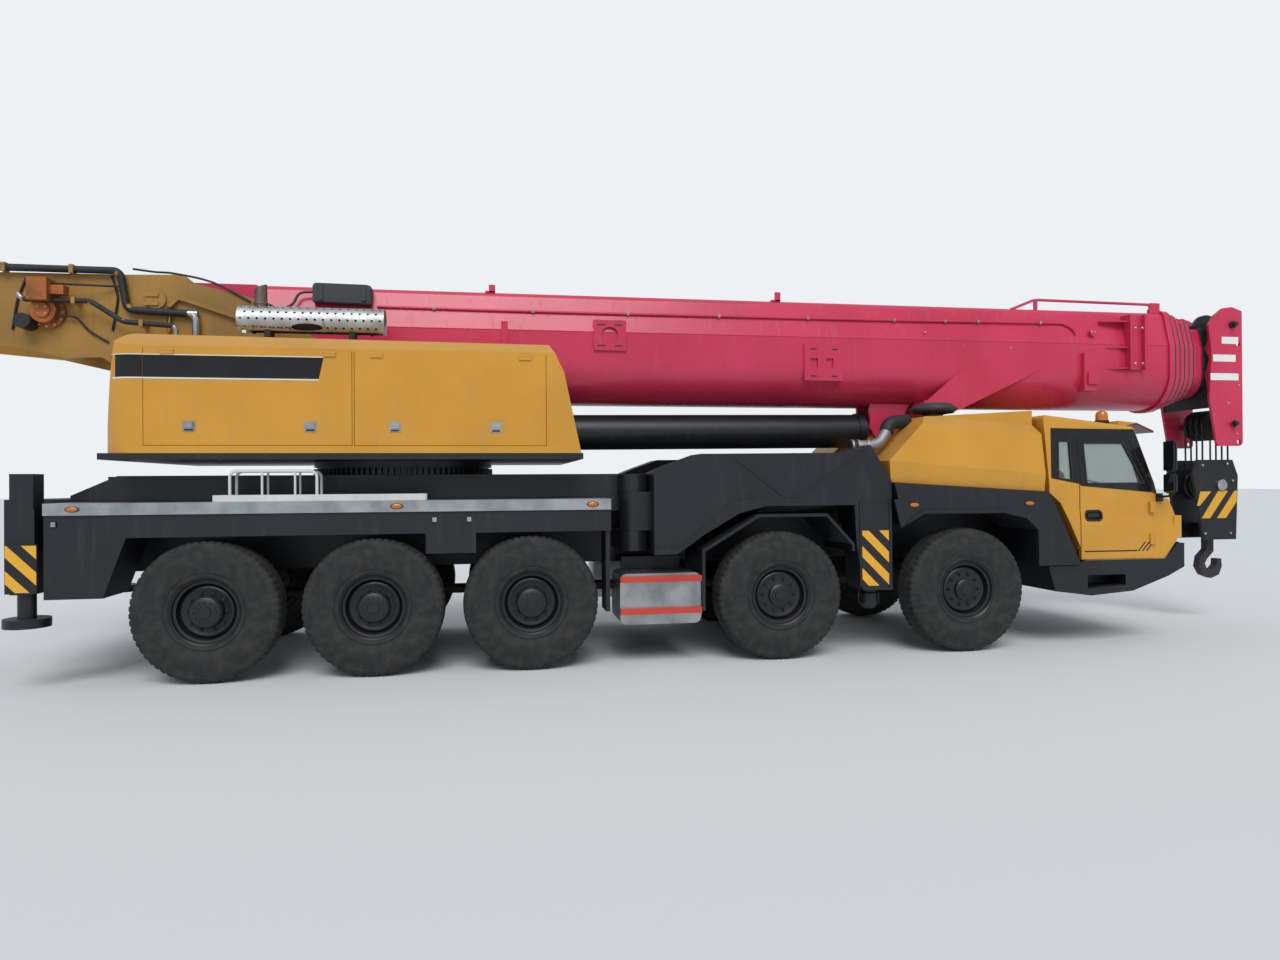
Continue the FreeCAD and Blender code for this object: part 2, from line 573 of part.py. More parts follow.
def cab_body():
    """The cab's skin as a whole, before doors and windows are taken out."""
    form = cut(prism("side", cab_profile("0"), "-cab_half", "cab_half"), *cab_sides("0"))
    softened = rounded(form, ("cab_round", lambda edge: edge.CenterOfMass.z > 2400))
    outer = cut(softened, *cab_lines())
    inner = cut(prism("side", cab_profile("wall"), "-cab_half + wall", "cab_half - wall"), *cab_sides("wall"))
    noses = []
    for y1, y2 in (("-cab_half + 2", "-cab_half + 330"), ("cab_half - 330", "cab_half - 2")):
        noses.append(block("nose_x - 40", "nose_x + 55", y1, y2, 1190, 1445))
    visor = prism("side", [("roof_front_x - 130", 2497), ("roof_front_x - 110", 2540), (5512, 2517),
                           (5732, 2426),
                           (5732, 2404), (5512, 2493), ("roof_front_x - 40", 2479),
                           ("roof_front_x - 90", 2478)],
                  "-cab_half + lean + 60", "cab_half - lean - 60")
    return fuse(cut(outer, inner), visor, *noses)


def door_edge(z):
    """Where the door's slanted front edge lies at a height."""
    return "door_front - (door_front - roof_front_x + 100) * (%s - sill - 60) / (door_top - sill - 60)" % z


def door_window():
    """Opening of the door's window in the side view."""
    return [("door_back + 75", "belt + 110"), ("door_back + 75", "door_top - 70"),
            (door_edge("(door_top - 70)") + " - 80", "door_top - 70"),
            (door_edge("(belt + 110)") + " - 60", "belt + 110")]


def door_hinges():
    """Two hinge barrels with their leaves on the right door's front edge."""
    barrels = []
    for z in ("cab_low + 165", "sill - 180"):
        barrels.append(rod("z", "door_front", "-cab_half - hinge_out", z, "hinge_barrel", 120))
        barrels.append(block("door_front - 55", "door_front", "-cab_half - hinge_out - 5",
                             "-cab_half + line_deep + 2", z, z + " + 120"))
    return barrels


def window_cuts():
    """Openings of the windscreen, the rear window and the quarter windows."""
    screen = prism("side", [("sill_x - 130", "sill + 60"), ("sill_x + 60", "sill + 60"),
                            ("roof_front_x + 80", "roof_front - 110"),
                            ("roof_front_x - 110", "roof_front - 110")],
                   "-cab_half + lean + 90", "cab_half - lean - 90")
    rear = block("cab_back - 10", "cab_back + wall + 10", "-800", "800", 2250, 2450)
    quarters = prism("side", [("cab_back + 110", "belt + 170"), ("door_back - 90", "belt + 150"),
                              ("door_back - 80", "door_top - 50"), ("cab_back + 150", "door_top - 50")],
                     "-cab_half - 10", "cab_half + 10")
    return [screen, rear, quarters]


def cab():
    """Cab shell, doors with their panes, fixed glass, seats and dash."""
    door_cut = common(prism("side", door_outline("part_gap", "seat_gap"), "-cab_half - 10",
                            "-cab_half + 400"),
                      cab_side("(wall + part_gap)", ""))
    node("cab_shell", cut(cab_body(), door_cut, mirrored(door_cut), *window_cuts()))
    door_form = prism("side", door_outline("0", "0"), "-cab_half - 10", "-cab_half + 400")
    leaf = cut(cab_side("wall", ""), *(cab_sides("0") + cab_lines()))
    door_panel = common(cut(leaf, block("door_back - 60", "nose_x + 1", "-cab_half - 9", "-cab_half", 0,
                                        3000)), door_form)
    pocket = rounded(block("door_back + 55", "door_back + 265", "-cab_half - 40", "-cab_half + handle_deep",
                           "handle_z - 65", "handle_z + 65"), (40, lambda edge: runs(edge, "y")))
    grip = block("door_back + 85", "door_back + 235", "-cab_half + 6", "-cab_half + 14", "handle_z - 18",
                 "handle_z + 18")
    post = block("door_back + 85", "door_back + 110", "-cab_half + 6", "-cab_half + handle_deep + 1",
                 "handle_z - 18",
                 "handle_z + 18")
    panel = fuse(cut(door_panel, prism("side", door_window(), "-cab_half - 10", "-cab_half + 410"), pocket),
                 grip, post)
    both_sides("cab_door", fuse(panel, *door_hinges()))
    skin = cut(cut(prism("side", cab_profile("16"), "-cab_half + 16", "cab_half - 16"), *cab_sides("16")),
               cut(prism("side", cab_profile("(16 + pane)"), "-cab_half + 16 + pane", "cab_half - 16 - pane"),
                   *cab_sides("(16 + pane)")))
    screen, rear, quarters = window_cuts()
    node("cab_glass", common(skin, group(screen, rear, quarters)))
    both_sides("cab_door_glass", common(skin, prism("side", door_window(), "-cab_half - 10",
                                                    "-cab_half + 410")))


def cab_interior():
    """Two seats, the dash and the steering wheel, standing on the cab's floor."""
    things = []
    for y in ("-seat_y", "seat_y"):
        things.append(block("seat_x", "seat_x + 390", y + " - 250", y + " + 250", "cab_low + wall + seat_gap",
                            "cab_low + 525"))
        things.append(prism("side", [("seat_x - 100", "cab_low + 445"),
                                     ("seat_x - seat_gap", "cab_low + 445"),
                                     ("seat_x - seat_gap", "cab_low + 640"),
                                     ("seat_x - 60", "cab_low + 1165"),
                                     ("seat_x - 160", "cab_low + 1165")], y + " - 240", y + " + 240"))
    dash = prism("side", [("nose_x - 420", "cab_low + wall + seat_gap"), ("nose_x - 420", "sill - 23"),
                          ("nose_x - 300", "sill - 23"), ("nose_x - 250", "sill - 163"),
                          ("nose_x - 250", "cab_low + wall + seat_gap")],
                 "-cab_half + wall + 60", "cab_half - wall - 60")
    lean = Rotation(Vector(0, 1, 0), -25)
    wheel = document.addObject("Part::Torus", "SteeringWheel")
    wheel.Radius1 = number("steer_radius")
    wheel.Radius2 = number("steer_radius / 13")
    wheel.Placement = FreeCAD.Placement(Vector(), lean)
    place(wheel, "seat_x + 570", "seat_y", "sill + 57")
    column = rod("z", 0, 0, 0, "steer_radius / 6", 330)
    column.Placement = FreeCAD.Placement(Vector(), lean)
    place(column, "seat_x + 700", "seat_y", "sill - 213")
    spokes = block("seat_x + 552", "seat_x + 592", "seat_y - steer_radius", "seat_y + steer_radius",
                   "sill + 41", "sill + 57")
    spokes.Placement = FreeCAD.Placement(Vector(), lean)
    place(spokes, "seat_x + 552", "seat_y - steer_radius", "sill + 41")
    return node("cab_interior", group(*(things + [fuse(dash, column, spokes, wheel)])))


def front_bumper():
    """Bumper and entry steps below the cab, hollow behind."""
    outline_points = [("step_back - 80", "step_top"), ("step_back", "bumper_low + 60"),
                      ("step_back + 447", "bumper_low"),
                      ("chin_x - 450", "bumper_low + 41"), ("chin_x", "bumper_low + 197"),
                      ("bumper_front", "bumper_top - 270"), ("bumper_front", "bumper_top"),
                      ("nose_x + seat_gap", "bumper_top"),
                      ("nose_x + seat_gap", "cab_low + 190"), ("nose_x - 168", "cab_low - seat_gap"),
                      ("well_front - 60", "cab_low - seat_gap"), ("well_front - 100", "step_top")]
    outer = prism("side", outline_points, "-cab_half - 20", "cab_half + 20")
    room = block("step_back - 100", "chin_x - 64", "-bumper_room", "bumper_room", "bumper_low - 60",
                 "cab_low + 45")
    steps = prism("side", [("step_back + 400", "bumper_low + 80"), ("step_back + 880", "bumper_low + 110"),
                           ("step_back + 880", "bumper_low + 230"), ("step_back + 400", "bumper_low + 230")],
                  "-cab_half - 30", "cab_half + 30")
    step_room = prism("side", [("step_back + 390", "bumper_low + 70"),
                               ("step_back + 890", "bumper_low + 105"),
                               ("step_back + 890", "bumper_low + 240"),
                               ("step_back + 390", "bumper_low + 240")],
                      "-cab_half + step_deep", "cab_half - step_deep")
    return node("front_bumper", cut(outer, room, cut(steps, step_room)))


def mirrors():
    """Mirror heads on their arms at both front corners of the cab."""
    x = "door_front + 40"
    head = block(x, x + " + 60", "-cab_half - 270", "-cab_half - 90", "sill", "sill + 640")
    foot = block(x, x + " + 80", "-cab_half - 12", "-cab_half + line_deep - seat_gap", "sill - 63",
                 "sill + 37")
    arm = fuse(block(x + " + 20", x + " + 50", "-cab_half - 110", "-cab_half - 12", "sill - 23", "sill + 17"),
               foot,
               block(x + " + 20", x + " + 50", "-cab_half - 140", "-cab_half - 90", "sill - 23", "sill + 60"),
               head)
    return node("mirrors", group(arm, mirrored(arm)))


def fuel_tank():
    """Tank below the arm's hinge, its guard rails and the air tanks opposite."""
    tank = prism("side", [("tank_back", "tank_low"), ("tank_front", "tank_low"), ("tank_front", "tank_top"),
                          ("tank_back", "tank_top")], "-half_width + 60", "-tank_inner",
                 [(70, lambda e: abs(e.tangentAt(e.FirstParameter).y) > 0.99)])
    carrier = block("tank_back + 100", "tank_front - 100", "-tank_inner - 2", "-frame_half - seat_gap",
                    "frame_low + 20", "frame_low + 80")
    saddle = block("tank_back + 100", "tank_front - 100", "-tank_inner - 30", "-tank_inner + 20",
                   "tank_low + 100", "frame_low + 80")
    rails = []
    for z in (565, 890):
        rails.append(block("tank_back", "tank_front", "-half_width + 20", "-half_width + 60.5", z - 45,
                           z + 15))
    right = fuse(tank, carrier, saddle, *rails)
    return node("fuel_tank", group(right, mirrored(right)))


def air_intake():
    """Mushroom air intake on the hood."""
    rise = "(hood_top_front - hood_top_back) / (hood_front - hood_back - hood_slope)"
    seat = "hood_top_back + seat_gap + (intake_x + 110 - hood_back - hood_slope) * " + rise
    stack = spun([(0, 0), (0, 110), (60, 110), (60, 250), (95, 265), (140, 210), (150, 0)],
                 "intake_x", -900, seat, "z")
    return node("air_intake", stack)


TEETH = 96


def slew_ring():
    """Bearing ring between chassis and turntable, with gear teeth around its lower race."""
    root = number("ring_radius - tooth_deep")
    tip = number("ring_radius")
    points = []
    for tooth in range(TEETH):
        for share, radius in ((0.0, root), (0.24, root), (0.38, tip), (0.62, tip), (0.76, root)):
            angle = 2 * math.pi * (tooth + share) / TEETH
            points.append(Vector(radius * math.cos(angle), radius * math.sin(angle), 0))
    face = Part.Face(Part.makePolygon(points + points[:1]))
    gear = document.addObject("Part::Feature", "Gear")
    gear.Shape = face.extrude(Vector(0, 0, number("tooth_high")))
    place(gear, "slew_x", 0, "frame_top + seat_gap")
    race = rod("z", "slew_x", 0, "frame_top + seat_gap", "ring_radius - tooth_deep - 6",
               "ring_height - 2 * seat_gap")
    flange = rod("z", "slew_x", 0, "frame_top + tooth_high + 18", "ring_radius - 8",
                 "ring_height - tooth_high - 18 - seat_gap")
    ring = cut(fuse(race, gear, flange), rod("z", "slew_x", 0, "frame_top - 1", "ring_inner",
                                             "ring_height + 4"))
    return node("slew_ring", ring)


# Wheels and knuckles


def wheel(number_text, side, driven):
    """Tyre and rim of one wheel, turned about its axle."""
    tyre_half = "tyre_width / 2"
    tyre = spun([("-%s + 20" % tyre_half, "rim_radius + seat_gap"), ("-%s" % tyre_half, "rim_radius + 190"),
                 ("-%s + 16" % tyre_half, "tyre_radius - 50"), ("-%s + 70" % tyre_half, "tyre_radius"),
                 ("%s - 70" % tyre_half, "tyre_radius"), ("%s - 16" % tyre_half, "tyre_radius - 50"),
                 ("%s" % tyre_half, "rim_radius + 190"), ("%s - 20" % tyre_half, "rim_radius + seat_gap")],
                0, 0, 0)
    out = -1 if side == "right" else 1
    bulge = "tyre_width / 2 - 15" if driven else "tyre_width / 2 - 70"
    bore = "stub_radius + fit_gap" if not driven else "shaft_radius + fit_gap"
    points = [("-tyre_width / 2 + 22", "rim_radius - 22"), ("-tyre_width / 2 + 22", "rim_radius"),
              ("tyre_width / 2 - 22", "rim_radius"), ("tyre_width / 2 - 22", "rim_radius - 22"),
              ("tyre_width / 2 - rim_dish", "rim_radius - 48"), ("tyre_width / 2 - rim_dish", "hub_radius"),
              (bulge, "hub_radius - 25"), (bulge, 0), ("10", 0), ("10", bore),
              ("-tyre_width / 2 + 60", bore), ("-tyre_width / 2 + 60", "hub_radius"),
              ("tyre_width / 2 - rim_dish - 30", "hub_radius"),
              ("tyre_width / 2 - rim_dish - 30", "rim_radius - 60")]
    rim = spun([("%d * (%s)" % (out, a), b) for a, b in points], 0, 0, 0)
    both = group(tyre, rim)
    place(both, "axle_" + number_text, "%d * (half_width - tyre_width / 2)" % out, "tyre_radius")
    return node("wheel_%s_%s" % (number_text, side), both)


def knuckle(number_text, side):
    """Steering knuckle with its king pin and stub."""
    sign = "-" if side == "right" else ""
    axle = "axle_" + number_text
    post = rod("z", axle, sign + "king_pin", "tyre_radius - knuckle_height / 2", "knuckle_radius",
               "knuckle_height")
    pin = rod("z", axle, sign + "king_pin", "tyre_radius - knuckle_height / 2 - fork_plate", "pin_radius",
              "knuckle_height + 2 * fork_plate")
    reach = "half_width - tyre_width / 2 + 9"
    if side == "right":
        stub = rod("y", axle, "-(%s)" % reach, "tyre_radius", "stub_radius", "%s - king_pin" % reach)
    else:
        stub = rod("y", axle, "king_pin", "tyre_radius", "stub_radius", "%s - king_pin" % reach)
    return node("knuckle_%s_%s" % (number_text, side), fuse(post, pin, stub))


# Outriggers


def outrigger_arm():
    """Swing arm: box beam over the second axle with its hinge eye and jack housing."""
    beam = prism("side", [(-240, 1115), (0, 1119), (320, 1336), (669, 1533), (951, "arm_under"),
                          (1936, "arm_under"), (1957, 1194), ("arm_end - jack_wall", 696),
                          ("arm_end", 690), ("arm_end", 1861), (2186, 2140), (2125, "arm_peak"),
                          (2088, "arm_peak"),
                          (1867, 2163), (256, 2152), (-87, 2030), (-240, 1964)], "-arm_outer", "-arm_inner")
    eye = rod("z", "hinge_x", "-hinge_y", "lug_low_top + 2", "hinge_radius", "lug_top_low - lug_low_top - 4")
    web = block("hinge_x", -200, "-hinge_y - hinge_radius", "-hinge_y + 100", "lug_low_top + 2",
                "lug_top_low - 2")
    pin = rod("z", "hinge_x", "-hinge_y", "lug_low", "hinge_pin", "lug_top - lug_low")
    bore = rod("z", "arm_end - jack_wall / 2", "-(arm_inner + arm_outer) / 2", "arm_end_low - 10",
               "jack_radius + fit_gap", "jack_tall")
    slim = block("arm_end - jack_wall - 80", "arm_end + 1", "-arm_inner - 80", "-arm_inner + 1", 600, 1500)
    ribs = []
    for points in ([(614, 2127), (1154, 1718), (1319, 1717), (2050, 2190), (2062, 2172), (1325, 1693),
                    (1146, 1694),
                    (600, 2108)],
                   [(-206, 1219), (70, 1215), (611, 1702), (936, 1730), (938, 1708), (618, 1679), (78, 1192),
                    (-206, 1196)],
                   [(1990, 1654), (2350, 1654), (2350, 700), (2326, 700), (2326, 1630), (2014, 1630),
                    (2014, 730),
                    (1990, 730)]):
        ribs.append(prism("side", points, "-arm_outer - rib_out", "-arm_outer + 1"))
    arm = cut(fuse(beam, eye, web, pin, *ribs), bore, slim)
    both_sides("outrigger_arm", arm)
    leg = fuse(rod("z", "arm_end - jack_wall / 2", "-(arm_inner + arm_outer) / 2", "ball_low + 60",
                   "jack_radius",
                   "jack_tall"),
               spun([(0, 0), (0, "ball_radius * 0.6"), ("ball_radius * 0.5", "ball_radius"),
                     ("ball_radius * 1.5", "ball_radius"), ("ball_radius * 2", "ball_radius * 0.6"),
                     ("ball_radius * 2", 0)], "arm_end - jack_wall / 2", "-(arm_inner + arm_outer) / 2",
                    "ball_low", "z"))
    both_sides("outrigger_jack", leg)


def rear_outriggers():
    """Sliding beams in the rear box, each with its jack housing and jack."""
    for side, x, sign in (("right", "beam_right_x", -1), ("left", "beam_left_x", 1)):
        y1, y2 = ("-rear_jack_out", "frame_wide - 20") if sign < 0 else ("-frame_wide + 20", "rear_jack_out")
        beam = block(x + " - beam_wide / 2", x + " + beam_wide / 2", y1, y2,
                     "(rear_box_low + rear_box_top - beam_high) / 2",
                     "(rear_box_low + rear_box_top + beam_high) / 2")
        centre = "%d * (rear_jack_out - rear_jack_wide / 2)" % sign
        tube = block(x + " - rear_jack_wide / 2", x + " + rear_jack_wide / 2",
                     centre + " - rear_jack_wide / 2",
                     centre + " + rear_jack_wide / 2", "rear_jack_low + 220", "rear_jack_top")
        bore = rod("z", x, centre, 500, "rear_jack_radius + fit_gap", "rear_jack_top - 540")
        shield = block(x + " - rear_jack_wide / 2 - 35", x + " + rear_jack_wide / 2 + 35",
                       centre + (" - rear_jack_wide / 2 - 14" if sign < 0 else " + rear_jack_wide / 2 - 1"),
                       centre + (" - rear_jack_wide / 2 + 1" if sign < 0 else " + rear_jack_wide / 2 + 14"),
                       "rear_jack_low + 230", 1334)
        node("rear_beam_" + side, cut(fuse(beam, tube, shield), bore))
        leg = fuse(rod("z", x, centre, "rear_jack_low", "rear_jack_radius",
                       "rear_jack_top - rear_jack_low - 60"),
                   rod("z", x, centre, "rear_jack_low - 80", 190, 80))
        node("rear_jack_" + side, leg)


# Upper works


def turntable():
    """Floor, two cheek plates with the boom pin and lift pin, the tail and the motor case."""
    floor = block("house_back", "house_front", "-house_out", "house_out", "ring_top",
                  "ring_top + table_thick")
    cheek_points = [("tail_end", "tail_low + 260"), ("tail_end + 300", "tail_low + 60"),
                    ("pivot_x - 1323", "tail_low - 25"),
                    ("pivot_x - 853", "tail_low - 134"), ("pivot_x - 522", "tail_low - 124"),
                    ("house_back + 100", 2900),
                    ("house_back + 150", "ring_top + 1"),
                    ("lift_x + 1850", "ring_top + 1"), ("lift_x + 1650", "lift_z + 70"),
                    ("lift_x + 750", "lift_z + 210"),
                    ("pivot_x + 1023", "pivot_z + 5"), ("pivot_x + 837", "pivot_z + 72"),
                    ("pivot_x + 365", "pivot_z + 181"),
                    ("pivot_x + 288", "tail_top + 5"), ("pivot_x + 184", "tail_top + 25"),
                    ("pivot_x - 334", "tail_top + 8"),
                    ("tail_end", "tail_top - 20")]
    cheeks = [prism("side", cheek_points, "-cheek_inner - cheek", "-cheek_inner"),
              prism("side", cheek_points, "cheek_inner", "cheek_inner + cheek")]
    pins = [rod("y", "pivot_x", "-cheek_inner - cheek - 30", "pivot_z", "pivot_radius",
                "2 * (cheek_inner + cheek + 30)"),
            rod("y", "lift_x", "-cheek_inner", "lift_z", "lift_pin", "2 * cheek_inner")]
    end = block("tail_end", "tail_end + 40", "-cheek_inner", "cheek_inner", "tail_low + 270",
                "tail_top - 25")
    web = block("house_back + 150", "house_back + 190", "-cheek_inner", "cheek_inner", "ring_top + 1",
                "tail_low - 289")
    seat = rod("z", "slew_x", 0, "ring_top", "ring_radius", "table_thick")
    drum_hole = rod("y", "drum_x", "-cheek_inner - cheek - 1", "drum_z", "60 + fit_gap",
                    "2 * (cheek_inner + cheek + 1)")
    frame = cut(fuse(floor, end, web, seat, *(cheeks + pins + tail_fittings())), drum_hole)
    return node("turntable", group(frame, *tail_hoses()))


def tail_fittings():
    """Brace rib, pin bosses, winch motor and accumulator on the outer face of the tail's right cheek plate."""
    face = "-cheek_inner - cheek"
    things = []
    for side in (-1, 1):
        start, end = (face + " - brace_out", face + " + 1") if side < 0 else ("cheek_inner + cheek - 1",
                                                                              "cheek_inner + cheek + brace_out")
        things.append(prism("side", [("pivot_x + 116", "pivot_z - 63"), ("pivot_x + 211", "pivot_z + 42"),
                                     ("pivot_x + 268", "pivot_z + 34"), ("pivot_x + 701", "pivot_z - 108"),
                                     ("pivot_x + 911", "pivot_z - 197"),
                                     ("pivot_x + 911", "pivot_z - 227"), ("pivot_x + 268", "pivot_z - 12"),
                                     ("pivot_x + 221", "pivot_z - 2"), ("pivot_x + 146", "pivot_z - 82"),
                                     ("pivot_x + 146", "pivot_z - 337"), ("pivot_x + 116", "pivot_z - 337")],
                            start, end))
        for z in ("pivot_z + 45", "pivot_z - 45"):
            y1, y2 = (face + " - 46", face + " - 29") if side < 0 else ("cheek_inner + cheek + 29",
                                                                        "cheek_inner + cheek + 46")
            things.append(block("pivot_x - 110", "pivot_x + 30", y1, y2, "(%s) - 18" % z, "(%s) + 18" % z))
    gearbox = spun([(0, 62), (0, 165), (40, 165), (40, 120), (130, 120), (130, 70), (150, 70), (150, 0),
                    (56, 0), (56, 62)],
                   "drum_x", face, "drum_z", "out")
    things.append(gearbox)
    things.append(block("drum_x - 85", "drum_x + 95", face + " - 260", face + " - 60", "drum_z + 80",
                        "drum_z + 300"))
    things.append(block("drum_x + 60", "drum_x + 220", face + " - 200", face + " - 80",
                        "drum_z + 150", "drum_z + 240"))
    things.append(rod("y", "drum_x - 160", face + " - 190", "drum_z - 115", 75, 191))
    return things


def tail_hoses():
    """Three pressure hoses clipped along the right cheek plate, from the tail's top to the valve elbows."""
    y = "-cheek_inner - cheek - hose_out"
    main = tube([("tail_end + 40", y, "tail_top + 33"), ("pivot_x - 319", y, "tail_top + 33"),
                 ("pivot_x - 259", y, "pivot_z - 117"), ("pivot_x + 341", y, "pivot_z - 144"),
                 ("pivot_x + 391", y, "pivot_z - 144"), ("pivot_x + 391", y, "house_top + 30")],
                "hose_radius", 70)
    second = tube([("drum_x - 210", y + " - 90", "drum_z + 160"),
                   ("drum_x - 180", y + " - 90", "drum_z + 100"),
                   ("drum_x + 440", y + " - 90", "drum_z + 100"),
                   ("pivot_x - 259", y + " - 90", "drum_z - 100"),
                   ("pivot_x + 231", y + " - 90", "drum_z - 129"),
                   ("pivot_x + 231", y + " - 90", "house_top + 30")], 26, 50)
    clips = []
    for x in ("tail_end + 500", "tail_end + 1189", "pivot_x - 759"):
        clips.append(block(x + " - 20", x + " + 20", y + " - hose_radius - 6",
                           "-cheek_inner - cheek + seat_gap",
                           "tail_top - 11", "tail_top + 77"))
    for x, z in (("drum_x + 290", "drum_z + 100"), ("pivot_x - 89", "drum_z - 111")):
        clips.append(block(x + " - 18", x + " + 18", y + " - 120", "-cheek_inner - cheek + seat_gap",
                           z + " - 32", z + " + 32"))
    return [fuse(main, second, *clips)]


def housing_profile(inset):
    """Side outline of the power housing, moved inward by a wall."""
    return [("house_back + %s" % inset, "ring_top + table_thick + seat_gap"),
            ("house_back + 80 + %s" % inset, 2900), ("house_back + 140 + %s" % inset,
                                                     "house_top - %s" % inset),
            ("house_front - 330", "house_top - 36 - %s" % inset),
            ("house_front - 190 - %s" % inset, 2975),
            ("house_front - 20 - %s" % inset, "ring_top + table_thick + seat_gap")]


def housing_shell(inset, y1, y2):
    """Housing form with its bevelled upper edge, its rear rounded in plan and at the top."""
    form = prism("side", housing_profile(inset), y1, y2,
                 [("house_crown - %s" % inset,
                   lambda edge: runs(edge, "y") and edge.CenterOfMass.x < -5000
                    and edge.CenterOfMass.z > 3200)])
    plan = prism("plan", [("house_back - 5", y1), ("house_front + 5", y1), ("house_front + 5", y2),
                          ("house_back - 5", y2)],
                 "ring_top", "house_top + 10",
                 [("house_corner - %s" % inset,
                   lambda edge: runs(edge, "z") and edge.CenterOfMass.x < -5000
                    and edge.CenterOfMass.y < -1000)])
    bevel = prism("front", [("-house_out - 1", "bevel_line - %s" % inset),
                            ("-house_out - 1", "house_top + 200"),
                            ("-house_out + house_bevel", "house_top + 200"),
                            ("-house_out + house_bevel", "house_top"),
                            ("-house_out + %s" % inset, "bevel_line - %s" % inset)],
                  "house_back - 10", "house_front + 10")
    return cut(common(form, plan), bevel)


def power_housing():
    """Right housing over the upper engine, with two lids hinged along their top edge."""
    outer = housing_shell("0", "-house_out", "-cheek_inner - cheek - part_gap")
    inner = housing_shell("house_wall", "-house_out + house_wall",
                          "-cheek_inner - cheek - part_gap - house_wall")
    doors = []
    lids = (("lid_back", "house_split - 8", "housing_lid_rear"),
            ("house_split + 8", "lid_front", "housing_lid_front"))
    for back, front, label in lids:
        doors.append(block(back, front, "-house_out - 1", "-house_out + house_wall + 1", "lid_low",
                           "lid_top"))
        barrels = []
        for x in (back + " + 150", front + " - 270"):
            barrels.append(rod("x", x, "-house_out - lid_out", "lid_top - 15", "lid_barrel", 120))
            barrels.append(block(x, x + " + 120", "-house_out - lid_out - 3", "-house_out + 1",
                                 "lid_top - 55", "lid_top - 15"))
        leaf = block(back + " + part_gap", front + " - part_gap", "-house_out", "-house_out + house_wall",
                     "lid_low + part_gap", "lid_top - seat_gap")
        node(label, fuse(leaf, *barrels))
    right = cut(outer, inner, *doors)
    left_side = prism("side", [(a.replace("house_front", "left_front"), b) for a, b in housing_profile("0")],
                      "cheek_inner + cheek + part_gap", "house_out")
    left_plan = prism("plan", [("house_back - 5", "cheek_inner"), ("left_front + 5", "cheek_inner"),
                               ("left_front + 5", "house_out"), ("house_back - 5", "house_out")],
                      "ring_top", "house_top + 10",
                      [("house_corner", lambda edge: runs(edge, "z") and edge.CenterOfMass.y > 1000)])
    left_bevel = prism("front", [("house_out + 1", "bevel_line"), ("house_out", "bevel_line"),
                                 ("house_out - house_bevel", "house_top"), ("house_out - house_bevel", 3500),
                                 ("house_out + 1", 3500)], "house_back - 10", "left_front + 10")
    left_form = cut(common(left_side, left_plan), left_bevel)
    node("power_housing", group(right, left_form))
    node("upper_engine", block("house_back + 705", "house_back + 3155", "-house_out + 165",
                               "-house_out + 645",
                               "ring_top + table_thick + seat_gap", "lid_top - 190"))


def roof_height(x):
    """Height of the housing's sloping roof at a place along it."""
    return "house_top - 36 * (%s - house_back - 140) / (house_front - house_back - 470)" % x


def muffler():
    """Silencer on the housing under its half-round heat shield, with a slanted tailpipe."""
    length = "muffler_front - muffler_back"
    shield = cut(rod("x", "muffler_back", "-muffler_y", "muffler_z", "muffler_radius", length),
                 rod("x", "muffler_back - 1", "-muffler_y", "muffler_z", "muffler_radius - shield_skin",
                     length + " + 2"),
                 block("muffler_back - 1", "muffler_front + 1", "-muffler_y - 200", "-muffler_y + 200",
                       "muffler_z - muffler_radius - 1", "muffler_z - 115"),
                 prism("side", [("muffler_back + 410", 3370), ("muffler_back + 450", 3440),
                                ("muffler_back + 520", 3475),
                                ("muffler_back + 630", 3475), ("muffler_back + 700", 3440),
                                ("muffler_back + 740", 3370)],
                       "-muffler_y - 200", "-muffler_y"))
    can = rod("x", "muffler_back + 30", "-muffler_y", "muffler_z", "muffler_radius - 40", length + " - 60")
    ribs = [rod("x", x, "-muffler_y", "muffler_z", "muffler_radius - shield_skin / 2", 20)
            for x in ("muffler_back + 120", "muffler_front - 140")]
    elbow = cut(rod("z", "muffler_back + 200", "-muffler_y", "muffler_z", "stub_bore + 6", 370),
                rod("z", "muffler_back + 200", "-muffler_y", "muffler_z + 145", "stub_bore", 260),
                prism("side", [("muffler_back + 100", 3790), ("muffler_back + 280", 3873),
                               ("muffler_back + 100", 3873)],
                      "-muffler_y - 80", "-muffler_y + 80"))
    ribs.append(block("muffler_back + 130", "muffler_front - 130", "-muffler_y - 10", "-muffler_y + 10",
                      "muffler_z - muffler_radius + 26", "muffler_z - 40"))
    feet = []
    for x in ("muffler_back + 250", "muffler_back + 1050"):
        feet.append(block(x, x + " + 60", "-muffler_y - 90", "-muffler_y + 90",
                          roof_height(x) + " + seat_gap",
                          "muffler_z"))
    return node("muffler", fuse(can, shield, elbow, *(ribs + feet)))


def winch_drum():
    """Hoist drum between the tail's cheek plates."""
    half = "cheek_inner - part_gap"
    drum = spun([("-(%s)" % half, 0), ("-(%s)" % half, "drum_radius + 110"),
                 ("-(%s) + 30" % half, "drum_radius + 110"),
                 ("-(%s) + 30" % half, "drum_radius"), ("%s - 30" % half, "drum_radius"),
                 ("%s - 30" % half, "drum_radius + 110"), (half, "drum_radius + 110"), (half, 0)],
                "drum_x", 0, "drum_z")
    shaft = rod("y", "drum_x", "-cheek_inner - cheek", "drum_z", 60,
                "2 * (cheek_inner + cheek)")
    return node("winch_drum", fuse(drum, shaft))


def room_profile(inset):
    """Side outline of the operator's cab, moved inward by a wall."""
    return [("room_back + %s" % inset, "ring_top + table_thick + seat_gap + %s" % inset),
            ("room_back + %s" % inset, "room_top - %s" % inset),
            ("room_front - 330 - %s" % inset, "room_top - %s" % inset),
            ("room_front - %s" % inset, 2700), ("room_front - %s" % inset, 2500),
            ("room_front - 150 - %s" % inset, "ring_top + table_thick + seat_gap + %s" % inset)]


